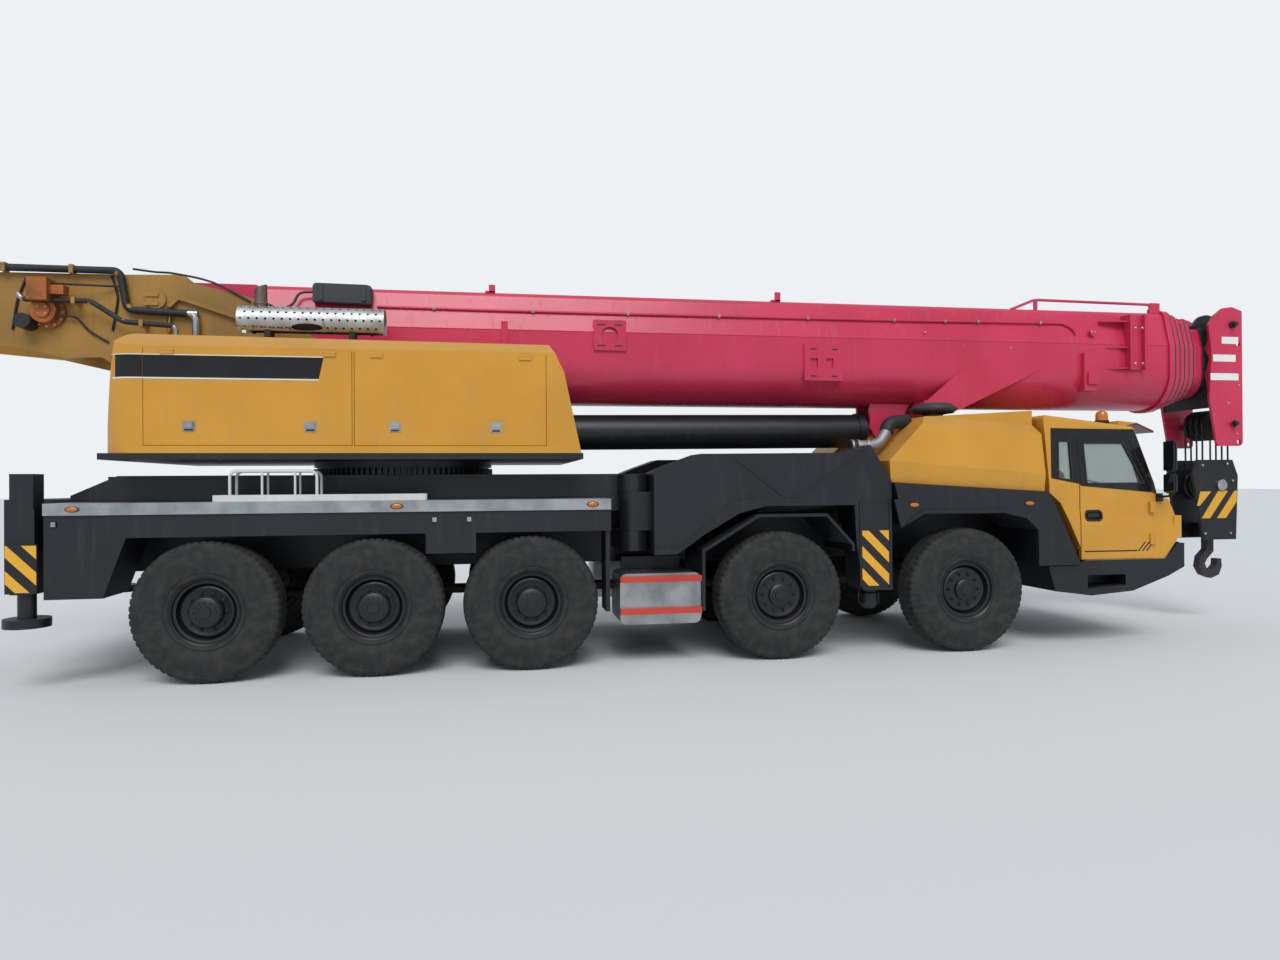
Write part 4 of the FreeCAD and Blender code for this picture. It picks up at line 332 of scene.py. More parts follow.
def about(x, y, z, radius, count, start=0):
    """Places spread evenly on an upright circle about X, Y and Z."""
    turns = [start + 2 * math.pi * turn / count for turn in range(count)]
    return [(x + radius * math.cos(turn), y, z + radius * math.sin(turn)) for turn in turns]


def bolts(mesh, places, axis, size, out=1):
    """Add hexagon bolt heads on their washers, standing out along an axis."""
    washer, height = out * size * 0.2, out * size * 0.95
    for place in places:
        turned(mesh, [(0, 0), (0, size * 0.95), (washer, size * 0.95), (washer, 0)], place, axis, 16)
        turned(mesh, [(washer, 0), (washer, size * 0.75), (out * size * 0.85, size * 0.75),
                      (height, size * 0.6), (height, 0)], place, axis, 6)


tyre_rubber = patched("vulcanised_rubber", "#1D1E20", "#33322F", 90, 0.42, 0.75, 0.78, 14, 0.12)
rim_enamel = sprayed("rim_enamel", "#121418", "#17181C", "#3E3A34", 0.5, 0.4)

# Sidewall from the bead to the shoulder, then the tread's half; depth from the outer face and radius
SIDEWALL = [(0.026, 0.318), (0.014, 0.335), (0.012, 0.352), (0.018, 0.360), (0.008, 0.372), (0.002, 0.43),
            (0.0, 0.49), (0.003, 0.545), (0.008, 0.560), (0.006, 0.566), (0.011, 0.576), (0.009, 0.582),
            (0.015, 0.592), (0.013, 0.598), (0.020, 0.622)]
TREAD = [(0.030, 0.650), (0.048, 0.664), (0.075, 0.668), (0.079, 0.656), (0.088, 0.656), (0.092, 0.669),
         (0.132, 0.670), (0.136, 0.658), (0.145, 0.658), (0.149, 0.670), (0.1925, 0.670)]
tyre_profile = [(TYRE_HALF - depth, radius) for depth, radius in SIDEWALL + TREAD]
tyre_profile += [(-spot, radius) for spot, radius in reversed(tyre_profile[:-1])]
shoulder = {index for index, (spot, radius) in enumerate(tyre_profile) if 0.10 < abs(spot) and radius > 0.61}

# Rim from its inner flange out to the disc face, then the hub, with a long cover where it is driven
RIM = [(-0.17, 0.300), (-0.17, 0.317), (0.150, 0.316), (0.158, 0.330), (0.168, 0.333), (0.170, 0.322),
       (0.158, 0.312), (0.150, 0.300), (0.124, 0.292), (0.118, 0.268), (0.070, 0.262), (0.058, 0.252),
       (0.066, 0.243), (0.086, 0.238), (0.092, 0.226), (0.088, 0.205), (0.084, 0.196), (0.084, 0.156)]
DRIVEN_HUB = [(0.094, 0.152), (0.150, 0.150), (0.158, 0.142), (0.168, 0.138), (0.174, 0.128),
              (0.178, 0.060), (0.186, 0.055), (0.186, 0)]
STEERED_HUB = [(0.092, 0.118), (0.126, 0.114), (0.132, 0.106), (0.140, 0.060), (0.148, 0.055), (0.148, 0)]


def tread_shape(index, step, radius):
    """Radius with the notches that cross the shoulders."""
    return radius - 0.012 if index in shoulder and step % 4 == 3 else radius


def wheel_mesh(driven, side):
    """One tyre and one rim mesh, made about the wheel's own centre."""
    tyre, rim = bmesh.new(), bmesh.new()
    turned(tyre, tyre_profile, (0, 0, 0), "y", NOTCHES * 4, tread_shape)
    profile = RIM + (DRIVEN_HUB if driven else STEERED_HUB)
    turned(rim, [(side * spot, radius) for spot, radius in profile], (0, 0, 0), "y", 64)
    studs = about(0, side * 0.084, 0, 0.176 if driven else 0.168, 10)
    bolts(rim, studs, "y", 0.019, side)
    for spot in studs:
        turned(rim, [(0, 0.009), (side * 0.034, 0.009), (side * 0.036, 0)], spot, "y", 8)
    ring, size, depth = (0.098, 0.011, 0.176) if driven else (0.082, 0.009, 0.137)
    bolts(rim, about(0, side * depth, 0, ring, 12), "y", size, side)
    return tyre, rim


SIDES = (("right", -1), ("left", 1))
for number in range(1, 6):
    for name, side in SIDES:
        node = "wheel_%d_%s" % (number, name)
        low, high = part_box(node)
        tyre_mesh, rim_mesh = wheel_mesh(number > 2, side)
        tyre = piece("tyre_%d_%s" % (number, name), tyre_mesh, tyre_rubber, node)
        rim = piece("rim_%d_%s" % (number, name), rim_mesh, rim_enamel, node)
        for thing in (tyre, rim):
            thing.location = (low + high) / 2
            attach(thing, node)
        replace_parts(tyre, node)

# Deck fittings
# Amber side lamps along the aluminium strips, with moulded lenses in black rubber seats.
# They are screwed to the strip; the latches on the locker doors are zinc plated.

lamp_amber = plain("moulded_amber_acrylic", "#D9822B", Roughness=0.12, IOR=1.49, Transmission_Weight=0.25)
black_rubber = patched("moulded_black_rubber", "#17181A", "#26262A", 70, 0.4, 0.75, 0.6)
zinc = bare_metal("zinc_plated_steel", "#BFC2C4", "#9DA09F", 0.3)

OVAL = [(math.cos(turn * math.pi / 8), math.sin(turn * math.pi / 8)) for turn in range(16)]
LAMP_WIDE, LAMP_HIGH = 0.062, 0.027
VIEWS = {"side": lambda a, b, c: (a, c, b), "front": lambda a, b, c: (c, a, b)}


def plate(mesh, outline, start, end, view="side", edge=0.003):
    """Add an outline pushed from start to end; side outlines run in X and Z, front ones in Y and Z."""
    low = [mesh.verts.new(VIEWS[view](a, b, start)) for a, b in outline]
    high = [mesh.verts.new(VIEWS[view](a, b, end)) for a, b in outline]
    faces = [mesh.faces.new(low), mesh.faces.new(high)] + joined(mesh, [low, high])
    bmesh.ops.recalc_face_normals(mesh, faces=faces)
    if edge:
        edges = {line for face in faces for line in face.edges if line.calc_face_angle(0) > 0.5}
        bmesh.ops.bevel(mesh, geom=list(edges), offset=edge, segments=2, affect="EDGES", clamp_overlap=True)


def oblong(left, right, low, high):
    """Corners of an upright rectangle."""
    return [(left, low), (right, low), (right, high), (left, high)]


def bar(mesh, x1, x2, y1, y2, z1, z2, edge=0.003):
    """Add a bar between two corners."""
    plate(mesh, oblong(x1, x2, z1, z2), y1, y2, "side", edge)


def oval_lamps(name, places, out):
    """Oval lamps on a side face: a rubber seat and a domed lens, at places of X, outer Y and Z."""
    seats, lenses = bmesh.new(), bmesh.new()
    for x, y, z in places:
        seat = [(x + LAMP_WIDE * a, z + LAMP_HIGH * b) for a, b in OVAL]
        plate(seats, seat, y - out * 0.002, y + out * 0.010)
        rings = []
        for share, lift in ((0.84, 0.010), (0.74, 0.018), (0.45, 0.023)):
            wide, high = LAMP_WIDE * share, LAMP_HIGH * share
            rings.append([lenses.verts.new((x + wide * a, y + out * lift, z + high * b)) for a, b in OVAL])
        faces = [lenses.faces.new(rings[-1])] + joined(lenses, rings)
        bmesh.ops.recalc_face_normals(lenses, faces=faces)
    piece(name + "_seats", seats, black_rubber)
    piece(name, lenses, lamp_amber, "chassis")


for name, side in SIDES:
    oval_lamps("deck_lamps_" + name, [(x, side * 1.475, 1.645) for x in (-5.63, -2.78, -0.88)], side)
    oval_lamps("wing_lamps_" + name, [(2.589, side * 1.455, 1.60), (3.95, side * 1.455, 1.605)], side)
    latches = bmesh.new()
    for x in (-5.815, -2.450, -2.120):
        bar(latches, x + 0.005, x + 0.045, side * 1.463, side * 1.474, 1.488, 1.532)
    piece("deck_latches_" + name, latches, zinc, "chassis")

# Tail lamps
# Red and amber moulded lamps in black seats on the rear box, in a row on each side.
# The lenses are acrylic; the seats are rubber, screwed to the box.

lamp_red = plain("moulded_red_acrylic", "#A01B1E", Roughness=0.14, IOR=1.49)
seats, reds, ambers = bmesh.new(), bmesh.new(), bmesh.new()
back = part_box("chassis_frame")[0].x
for side in (-1, 1):
    plate(seats, oblong(side * 0.47, side * 0.80, 1.40, 1.54), back + 0.001, back - 0.006, "front", 0.003)
    for near, far, mesh in ((0.485, 0.575, reds), (0.590, 0.680, reds), (0.695, 0.785, ambers)):
        lens = oblong(side * near, side * far, 1.415, 1.525)
        plate(mesh, lens, back - 0.005, back - 0.013, "front", 0.004)
piece("tail_lamp_seats", seats, black_rubber)
piece("tail_lamps", reds, lamp_red, "chassis")
piece("tail_turn_lamps", ambers, lamp_amber, "chassis")

# Hazard stripes
# Yellow and black reflective film on the swing arms' ends and on the rear jack housings.
# The film is glass-beaded and stuck on, cut to the panels.

STRIPE_MM = 118
stripes_per_metre = 1000 / (2 * STRIPE_MM)
hazard_film, tree, shader = new_material("hazard_film")
place = add(tree, "ShaderNodeTexCoord").outputs["Object"]
along = add(tree, "ShaderNodeVectorMath", {0: place}, operation="DOT_PRODUCT")
along.inputs[1].default_value = (stripes_per_metre, 0, stripes_per_metre)
turn = add(tree, "ShaderNodeMath", {0: along.outputs["Value"]}, operation="FRACT")
share = add(tree, "ShaderNodeMath", {0: turn.outputs[0]}, operation="GREATER_THAN")
share.inputs[1].default_value = 0.5
tree.links.new(mixed(tree, share.outputs[0], "#E3A82C", "#17181B"), shader.inputs["Base Color"])
shader.inputs["Roughness"].default_value = 0.34
add(tree, "ShaderNodeBump", {"Height": noise(tree, place, 3)}, shader.inputs["Normal"],
    Strength=0.06, Distance=0.001)
for name, side in SIDES:
    centre = -6.048 if side < 0 else -6.320
    for label, left, right, low, high, out, body in (
            ("arm", 2.018, 2.322, 0.740, 1.330, 1.399, "outrigger_arm_"),
            ("jack", centre - 0.128, centre + 0.128, 0.900, 1.324, 1.483, "rear_beam_")):
        strip = bmesh.new()
        plate(strip, oblong(left, right, low, high), side * out, side * (out + 0.004), edge=0.001)
        piece(label + "_stripes_" + name, strip, hazard_film, body + name)

# Hood and intake
# Pressed steel sheet in golden yellow, cleared; a ribbed mushroom intake moulded in black plastic.
# Behind it a silver cast elbow runs up in rubber sleeves with stainless clamps.

body_enamel = sprayed("body_enamel", "#CF9633", "#C58D31", "#94835F", 0.5, 0.27)
dress("engine_hood", body_enamel, edge=0.012)


def pipe(mesh, points, radius, sides, samples):
    """Add a round pipe or hose whose centre line runs smoothly through points."""
    points = [Vector(point) for point in points]
    line = []
    for index in range(len(points) - 1):
        before = points[max(index - 1, 0)]
        start, end = points[index], points[index + 1]
        after = points[min(index + 2, len(points) - 1)]
        bend = 2 * before - 5 * start + 4 * end - after
        twist = 3 * start - before - 3 * end + after
        for sample in range(samples):
            t = sample / samples
            line.append(0.5 * (2 * start + (end - before) * t + bend * t * t + twist * t ** 3))
    line.append(points[-1])
    turns = [2 * math.pi * side / sides for side in range(sides)]
    across = (line[1] - line[0]).orthogonal().normalized()
    rings = []
    for index, spot in enumerate(line):
        along = (line[min(index + 1, len(line) - 1)] - line[max(index - 1, 0)]).normalized()
        across = (across - along * across.dot(along)).normalized()
        beside = along.cross(across)
        rings.append([mesh.verts.new(spot + radius * (across * math.cos(turn) + beside * math.sin(turn)))
                      for turn in turns])
    faces = [mesh.faces.new(rings[0]), mesh.faces.new(rings[-1])] + joined(mesh, rings)
    bmesh.ops.recalc_face_normals(mesh, faces=faces)


dash_plastic = patched("moulded_grey_plastic", "#35373B", "#2C2E31", 400, 0.4, 0.8, 0.55, 2, 0.15, 0.0005)
intake = bmesh.new()
low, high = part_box("air_intake")
foot = Vector(((low.x + high.x) / 2, (low.y + high.y) / 2, low.z))
turned(intake, [(0, 0.108), (0.052, 0.108), (0.052, 0.232), (0.058, 0.246), (0.066, 0.250), (0.070, 0.262),
                (0.088, 0.264), (0.094, 0.256), (0.104, 0.252), (0.110, 0.238), (0.122, 0.230),
                (0.128, 0.214), (0.140, 0.205), (0.149, 0.160), (0.150, 0)], foot, "z", 48)
for step in range(24):
    turn = step * math.pi / 12
    out = Vector((math.cos(turn), math.sin(turn), 0))
    rib = [foot + out * 0.112 + Vector((0, 0, 0.028)), foot + out * 0.228 + Vector((0, 0, 0.044))]
    pipe(intake, rib, 0.006, 6, 1)
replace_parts(piece("intake_cap", intake, dash_plastic), "air_intake")
elbow, sleeves, bands = bmesh.new(), bmesh.new(), bmesh.new()
pipe(elbow, [(2.135, -1.02, 2.250), (2.300, -1.02, 2.256), (2.400, -1.01, 2.290), (2.470, -1.00, 2.370),
             (2.520, -0.98, 2.450)], 0.064, 20, 6)
pipe(sleeves, [(2.050, -1.02, 2.246), (2.150, -1.02, 2.250)], 0.070, 20, 2)
pipe(sleeves, [(2.500, -0.99, 2.418), (2.550, -0.97, 2.495), (2.640, -0.95, 2.525), (2.790, -0.92, 2.530)],
     0.080, 20, 6)
for x in (2.070, 2.140, 2.250):
    band = [(-0.011, 0.062), (-0.011, 0.075), (0.011, 0.075), (0.011, 0.062)]
    turned(bands, band, (x, -1.02, 2.251), "x", 24)
cast_aluminium = cast("cast_aluminium", "#A7AAAC", "#85878A", 6, 1)
stainless = bare_metal("stainless_sheet", "#C9CACA", "#AFAEAB", 0.3)
piece("intake_elbow", elbow, cast_aluminium, "chassis")
piece("intake_sleeve", sleeves, black_rubber)
piece("intake_bands", bands, stainless, "chassis")

# Cab side windows
# Tinted laminated glass in a glossy black printed band, set on the leaning sides of the cab.
# The band is bonded to the shell and to each door, with rubber seals round the glass.

window_glass = plain("tinted_safety_glass", "#CBD4D1", Roughness=0.02, IOR=1.52, Transmission_Weight=0.92)
for node in ("cab_glass", "cab_door_glass_right", "cab_door_glass_left", "operator_glass"):
    dress(node, window_glass, edge=0)
gloss_black = patched("baked_gloss_black_enamel", "#131417", "#1E1F22", 300, 0.45, 0.8, 0.12)
CAB_SIDE = 1.380
LEAN_FROM = 1.816


def leaned(mesh, side):
    """Lay flat pieces, drawn in X and Z, on the cab's side, which leans in from the belt upward."""
    everything = mesh.verts[:] + mesh.edges[:] + mesh.faces[:]
    bmesh.ops.bisect_plane(mesh, geom=everything, plane_co=(0, 0, LEAN_FROM), plane_no=(0, 0, 1))
    for vert in mesh.verts:
        vert.co.y = side * (CAB_SIDE - max(0.138 * (vert.co.z - 1.700), 0.016) + vert.co.y)
    if side < 0:
        bmesh.ops.reverse_faces(mesh, faces=mesh.faces[:])


def framed(mesh, outer, inner, start, end, view="side"):
    """Add a flat ring between two outlines of equal corner count."""
    loops = []
    for outline, out in ((outer, start), (outer, end), (inner, end), (inner, start)):
        loops.append([mesh.verts.new(VIEWS[view](a, b, out)) for a, b in outline])
    bmesh.ops.recalc_face_normals(mesh, faces=joined(mesh, loops + loops[:1]))


QUARTER = [(4.370, 1.870), (4.553, 1.850), (4.563, 2.300), (4.410, 2.300)]
DOOR_PANE = [(4.718, 1.810), (5.462, 1.810), (5.240, 2.280), (4.718, 2.280)]
for name, side in SIDES:
    band, seal, door_band, door_seal, strips = [bmesh.new() for count in range(5)]
    framed(band, [(4.290, 1.880), (4.6425, 1.813), (4.6425, 2.440), (4.340, 2.446)], QUARTER, -0.001, 0.005)
    for outline in ([(4.6425, 2.3505), (5.2955, 2.3505), (5.330, 2.436), (4.6425, 2.440)],
                    [(5.2955, 2.3505), (5.5645, 1.726), (5.5645, 1.700), (5.612, 1.700), (5.396, 2.424),
                     (5.380, 2.438), (5.330, 2.436)]):
        plate(band, outline, -0.001, 0.005, edge=0)
    framed(seal, QUARTER, [(4.385, 1.885), (4.541, 1.866), (4.549, 2.286), (4.422, 2.286)], -0.020, 0.009)
    framed(door_band, [(4.649, 1.792), (5.5605, 1.712), (5.2885, 2.3445), (4.649, 2.3445)],
           DOOR_PANE, -0.001, 0.005)
    framed(door_seal, DOOR_PANE, [(4.733, 1.825), (5.438, 1.825), (5.231, 2.265), (4.733, 2.265)],
           -0.020, 0.009)
    for outline in ([(4.6436, 1.800), (4.650, 1.800), (4.650, 2.3494), (4.6436, 2.3494)],
                    [(4.650, 2.344), (5.288, 2.344), (5.2945, 2.3494), (4.650, 2.3494)],
                    [(5.288, 2.344), (5.5600, 1.7125), (5.5640, 1.7215), (5.2945, 2.3494)]):
        plate(strips, outline, -0.012, 0.001, edge=0)
    for label, mesh, finish, body in (("window_band_", band, gloss_black, "chassis"),
                                      ("quarter_seal_", seal, black_rubber, "chassis"),
                                      ("door_band_", door_band, gloss_black, "cab_door_" + name),
                                      ("door_seal_", door_seal, black_rubber, "cab_door_" + name),
                                      ("door_strips_", strips, black_rubber, "cab_door_" + name)):
        leaned(mesh, side)
        piece(label + name, mesh, finish, body)

# Cab front
# The windscreen's black surround, two wipers and the moulded lamps of the bumper.
# The wipers are stamped steel arms with rubber blades; the lamps have clear lenses over black bowls.

VIEWS["screen"] = lambda a, b, c: (5.390 + (2.473 - b) * 0.295 + c, a, b + c * 0.28)
surround = bmesh.new()
framed(surround, [(-1.226, 1.690), (1.226, 1.690), (1.205, 2.425), (-1.205, 2.425)],
       [(-1.158, 1.735), (1.158, 1.735), (1.158, 2.355), (-1.158, 2.355)], -0.001, 0.006, "screen")
piece("screen_surround", surround, gloss_black)
wipers = bmesh.new()
for start, end in ((-0.95, -0.15), (0.05, 0.85)):
    tip = VIEWS["screen"](end, 1.86, 0.028)
    pipe(wipers, [VIEWS["screen"](start, 1.66, 0.01), VIEWS["screen"](start, 1.70, 0.03), tip], 0.009, 8, 4)
    pipe(wipers, [VIEWS["screen"](end - 0.38, 1.79, 0.022), tip, VIEWS["screen"](end + 0.25, 1.91, 0.022)],
         0.011, 8, 3)
piece("wipers", wipers, black_rubber)
bowls, lenses, corners = bmesh.new(), bmesh.new(), bmesh.new()
lamp_clear = plain("moulded_clear_acrylic", "#E6E8E8", Roughness=0.06, IOR=1.49, Transmission_Weight=0.6)
for side in (-1, 1):
    for near, far in ((0.86, 1.04), (1.07, 1.20)):
        plate(bowls, oblong(side * near, side * far, 0.955, 1.085), 5.937, 5.943, "front", 0.002)
        lens = oblong(side * (near + 0.012), side * (far - 0.012), 0.967, 1.073)
        plate(lenses, lens, 5.943, 5.951, "front", 0.003)
    plate(corners, oblong(side * 1.225, side * 1.335, 0.975, 1.065), 5.937, 5.950, "front", 0.003)
piece("head_lamp_bowls", bowls, black_rubber)
piece("head_lamps", lenses, lamp_clear, "chassis")
piece("turn_lamps", corners, lamp_amber, "chassis")

# Cab trim
# The shell and doors are pressed steel in the body's yellow, with a dark red acrylic visor over the screen.
# The doors have black pull handles in recesses and a thin line with three slashes, cut from vinyl.
# The beacon on the roof is a moulded amber dome on a rubber foot.

VIEWS["cab right"] = lambda a, b, c: (a, 0.111 * max(0, b - 1.385) - CAB_SIDE - c, b)
VIEWS["cab left"] = lambda a, b, c: (a, CAB_SIDE - 0.111 * max(0, b - 1.385) + c, b)
visor_acrylic = sprayed("dark_red_acrylic", "#6E1A26", "#5C151F", "#7A4A48", 0.3, 0.12)
dress("cab_shell", body_enamel, (visor_acrylic, lambda spot, normal: spot.x > 5.41 and spot.z > 2.39),
      edge=0.012)


def in_handle(spot, normal):
    """Whether a face of a door belongs to the handle's recess or its grip."""
    grip = 4.73 < spot.x < 4.88 and 1.40 < spot.z < 1.51
    recess = 4.69 < spot.x < 4.92 and 1.384 < spot.z < 1.526
    inward = abs(spot.y) < 1.3775 - 0.111 * (spot.z - 1.385)
    return abs(spot.y) > 1.330 and (grip or recess and inward)


HANDLE_X = 4.803
BEACON = (5.220, -0.98, 2.552)
rounded = [(math.copysign(abs(a) ** 0.6, a), math.copysign(abs(b) ** 0.6, b)) for a, b in OVAL]
for name, side in SIDES:
    view, door = "cab " + name, "cab_door_" + name
    dress(door, body_enamel, (black_rubber, in_handle), edge=0.012)
    handle, line = bmesh.new(), bmesh.new()
    rim, opening = [[(HANDLE_X + wide * a, 1.455 + tall * b) for a, b in rounded]
                    for wide, tall in ((0.112, 0.064), (0.092, 0.046))]
    framed(handle, rim, opening, -0.014, 0.006, view)
    grip = [(HANDLE_X + 0.070 * a, 1.472 + 0.018 * b) for a, b in rounded]
    plate(handle, grip, side * 1.352, side * 1.372, edge=0.004)
    plate(line, [(4.683, 1.046), (5.340, 1.046), (5.352, 1.060), (4.683, 1.060)], 0, 0.0022, view, 0)
    for x in (5.352, 5.404, 5.456):
        slash = [(x, 1.046), (x + 0.018, 1.046), (x + 0.110, 1.150), (x + 0.092, 1.150)]
        plate(line, slash, 0, 0.0022, view, 0)
    piece("door_handle_" + name, handle, black_rubber, door)
    piece("door_line_" + name, line, gloss_black, door)
dome, foot = bmesh.new(), bmesh.new()
turned(dome, [(0.0, 0.070), (0.075, 0.066), (0.105, 0.052), (0.118, 0.025), (0.120, 0)], BEACON, "z", 24)
turned(foot, [(-0.062, 0), (-0.062, 0.055), (-0.040, 0.050), (-0.020, 0.078), (0.004, 0.078), (0.004, 0)],
       BEACON, "z", 24)
piece("beacon", dome, lamp_amber, "chassis")
piece("beacon_foot", foot, black_rubber)

# Driver's seats and dash
# Two sprung seats with padded cushions in grey woven cloth, piped along their edges, and a moulded dash.
# The steering wheel is foamed over a steel ring and stands on a sloping column.


def cushion(x1, x2, y1, y2, z1, z2, swell=0.03):
    """A padded block between two corners whose sides swell towards their middles, with rounded corners."""
    made = bmesh.new()
    bmesh.ops.create_cube(made, size=2)
    bmesh.ops.subdivide_edges(made, edges=made.edges[:], cuts=9, use_grid_fill=True)
    middle = ((x1 + x2) / 2, (y1 + y2) / 2, (z1 + z2) / 2)
    half = ((x2 - x1) / 2, (y2 - y1) / 2, (z2 - z1) / 2)
    for vert in made.verts:
        unit = vert.co / sum(abs(part) ** 7 for part in vert.co) ** (1 / 7)
        for axis in range(3):
            across = (1 - unit[(axis + 1) % 3] ** 2) * (1 - unit[(axis + 2) % 3] ** 2)
            vert.co[axis] = middle[axis] + unit[axis] * (half[axis] + swell * across)
    return made


def on_wheel(radius, turn, lift):
    """A place on the driver's steering wheel from a radius, a turn in steps of 15 degrees and a lift."""
    angle = turn * math.pi / 12
    return hub + lean @ Vector((radius * math.cos(angle), radius * math.sin(angle), lift))


WEAVE_MM = 8
seat_cloth, tree, shader = new_material("woven_seat_cloth")
place = add(tree, "ShaderNodeTexCoord").outputs["Object"]
weave = add(tree, "ShaderNodeTexChecker", {"Vector": place}, Scale=1000 / WEAVE_MM)
tree.links.new(mixed(tree, weave.outputs["Fac"], "#2C2D30", "#38393C"), shader.inputs["Base Color"])
shader.inputs["Roughness"].default_value = 0.9
for name, y in (("right", -0.8), ("left", 0.8)):
    base = bmesh.new()
    for x1, x2, near, far, z1, z2, edge in ((4.790, 5.110, -0.210, 0.210, 1.003, 1.332, 0.02),
                                            (4.620, 4.740, -0.180, 0.180, 1.400, 1.520, 0.02),
                                            (4.640, 4.800, -0.230, -0.190, 1.300, 1.440, 0.01),
                                            (4.640, 4.800, 0.190, 0.230, 1.300, 1.440, 0.01)):
        bar(base, x1, x2, y + near, y + far, z1, z2, edge)
    piece("seat_base_" + name, base, dash_plastic, "chassis")
    for label, x1, x2, half, z1, z2, swell in (("seat_cushion_", 4.765, 5.150, 0.245, 1.340, 1.480, 0.03),
                                               ("seat_back_", 4.600, 4.705, 0.230, 1.500, 1.960, 0.03),
                                               ("head_rest_", 4.600, 4.680, 0.130, 1.990, 2.110, 0.012)):
        soft = cushion(x1, x2, y - half, y + half, z1, z2, swell)
        piece(label + name, soft, seat_cloth, "chassis", 60)
dash, wheel = bmesh.new(), bmesh.new()
plate(dash, [(5.448, 1.001), (5.448, 1.560), (5.470, 1.620), (5.530, 1.650), (5.575, 1.642), (5.610, 1.560),
             (5.618, 1.500), (5.618, 1.001)], -1.275, 1.275, edge=0.012)
bar(dash, 5.440, 5.452, 0.55, 1.05, 1.480, 1.600, 0.004)
lean = Matrix.Rotation(math.radians(-25), 4, "Y")
hub = Vector((5.330, 0.8, 1.720))
pipe(wheel, [on_wheel(0.21, turn, 0) for turn in range(25)], 0.016, 10, 2)
for turn in (0, 8, 16):
    pipe(wheel, [on_wheel(0, 0, -0.01), on_wheel(0.20, turn, -0.004)], 0.013, 8, 1)
pipe(wheel, [on_wheel(0, 0, -0.29), on_wheel(0, 0, 0.01)], 0.035, 16, 1)
piece("steering_wheel", wheel, black_rubber, "chassis")
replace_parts(piece("dash", dash, dash_plastic, "chassis"), "cab_interior")

# Mirrors
# Two rounded heads a side on a bent tube, moulded in black plastic round silvered glass.
# The tube is clamped in a bracket on the cab's front corner.

mirror_glass = plain("tinted_mirror_glass", "#6E7478", Metallic=1, Roughness=0.04)
for name, side in SIDES:
    heads, glass, arms = bmesh.new(), bmesh.new(), bmesh.new()
    low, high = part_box("mirrors")
    back, near, far = low.x, 1.472, high.y - 0.002
    for bottom, top in ((1.700, 1.925), (1.945, 2.295)):
        head = oblong(side * near, side * far, bottom, top)
        plate(heads, head, back + 0.002, back + 0.056, "front", 0.022)
        pane = oblong(side * (near + 0.012), side * (far - 0.012), bottom + 0.012, top - 0.012)
        plate(glass, pane, back - 0.0005, back + 0.004, "front", 0.0015)
    pipe(arms, [(back + 0.030, side * 1.366, 1.660), (back + 0.030, side * 1.430, 1.662),
                (back + 0.032, side * 1.560, 1.680), (back + 0.034, side * 1.560, 1.760)], 0.014, 10, 5)
    pipe(arms, [(back + 0.030, side * 1.560, 1.900), (back + 0.030, side * 1.560, 1.960)], 0.014, 10, 1)
    plate(arms, oblong(side * 1.3645, side * 1.392, 1.605, 1.700), back, back + 0.080, "front", 0.006)
    mirror_heads = piece("mirror_heads_" + name, heads, dash_plastic)
    piece("mirror_glass_" + name, glass, mirror_glass, "chassis")
    piece("mirror_arms_" + name, arms, black_rubber)
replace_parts(mirror_heads, "mirrors")

# Power housing
# A black band with a pale edge runs round the rounded rear corner of the housing and along its rear lid.
# It is cut vinyl film; below it are pressed zinc latches.

for node in ("power_housing", "housing_lid_rear", "housing_lid_front"):
    dress(node, body_enamel, edge=0.012)
pale_film = plain("cut_pale_vinyl", "#D9D6CC", Roughness=0.3)
HOUSE_OUT = 1.395


def house_rear(z):
    """X of the housing's sloping rear face at a height."""
    return -5.455 + 0.072 * (z - 2.164) / 0.684


for name, low, high, out, finish in (("band", 2.868, 3.075, 0.003, gloss_black),
                                     ("band_edge_low", 2.853, 2.868, 0.0036, pale_film),
                                     ("band_edge_high", 3.075, 3.084, 0.0036, pale_film)):
    skin, rows = bmesh.new(), []
    for z in (low, high):
        turns = [math.radians(180 + step * 7.5) for step in range(13)]
        spots = [(-5.155 + (0.3 + out) * math.cos(turn), -1.095 + (0.3 + out) * math.sin(turn))
                 for turn in turns]
        near = house_rear(z) - out
        spots = [(near, -0.56)] + [(max(x, near), y) for x, y in spots] + [(-5.0665, -HOUSE_OUT - out)]
        rows.append([skin.verts.new((x, y, z)) for x, y in spots])
    for index in range(len(rows[0]) - 1):
        skin.faces.new((rows[0][index], rows[0][index + 1], rows[1][index + 1], rows[1][index]))
    piece("corner_" + name, skin, finish, "turntable")
    skin = bmesh.new()
    ends = [-3.508 + 0.213 * (z - 2.858) for z in (low, high)]
    outline = [(-5.0635, low), (ends[0], low), (ends[1], high), (-5.0635, high)]
    plate(skin, outline, -HOUSE_OUT, -HOUSE_OUT - out, edge=0)
    piece("lid_" + name, skin, finish, "housing_lid_rear")
for lid, places in (("rear", (-4.667, -3.583)), ("front", (-2.798, -1.831))):
    latches, keys = bmesh.new(), bmesh.new()
    for x in places:
        for half, low, high, near, far, edge in ((0.055, 2.362, 2.462, -0.001, 0.008, 0.004),
                                                 (0.043, 2.392, 2.452, 0.007, 0.024, 0.007)):
            outline = oblong(x - half, x + half, low, high)
            plate(latches, outline, -HOUSE_OUT - near, -HOUSE_OUT - far, edge=edge)
        bar(keys, x - 0.040, x + 0.040, -HOUSE_OUT - 0.014, -HOUSE_OUT - 0.005, 2.370, 2.386, 0.003)
    piece("lid_latches_" + lid, latches, zinc, "housing_lid_" + lid)
    piece("lid_latch_keys_" + lid, keys, black_rubber, "housing_lid_" + lid)

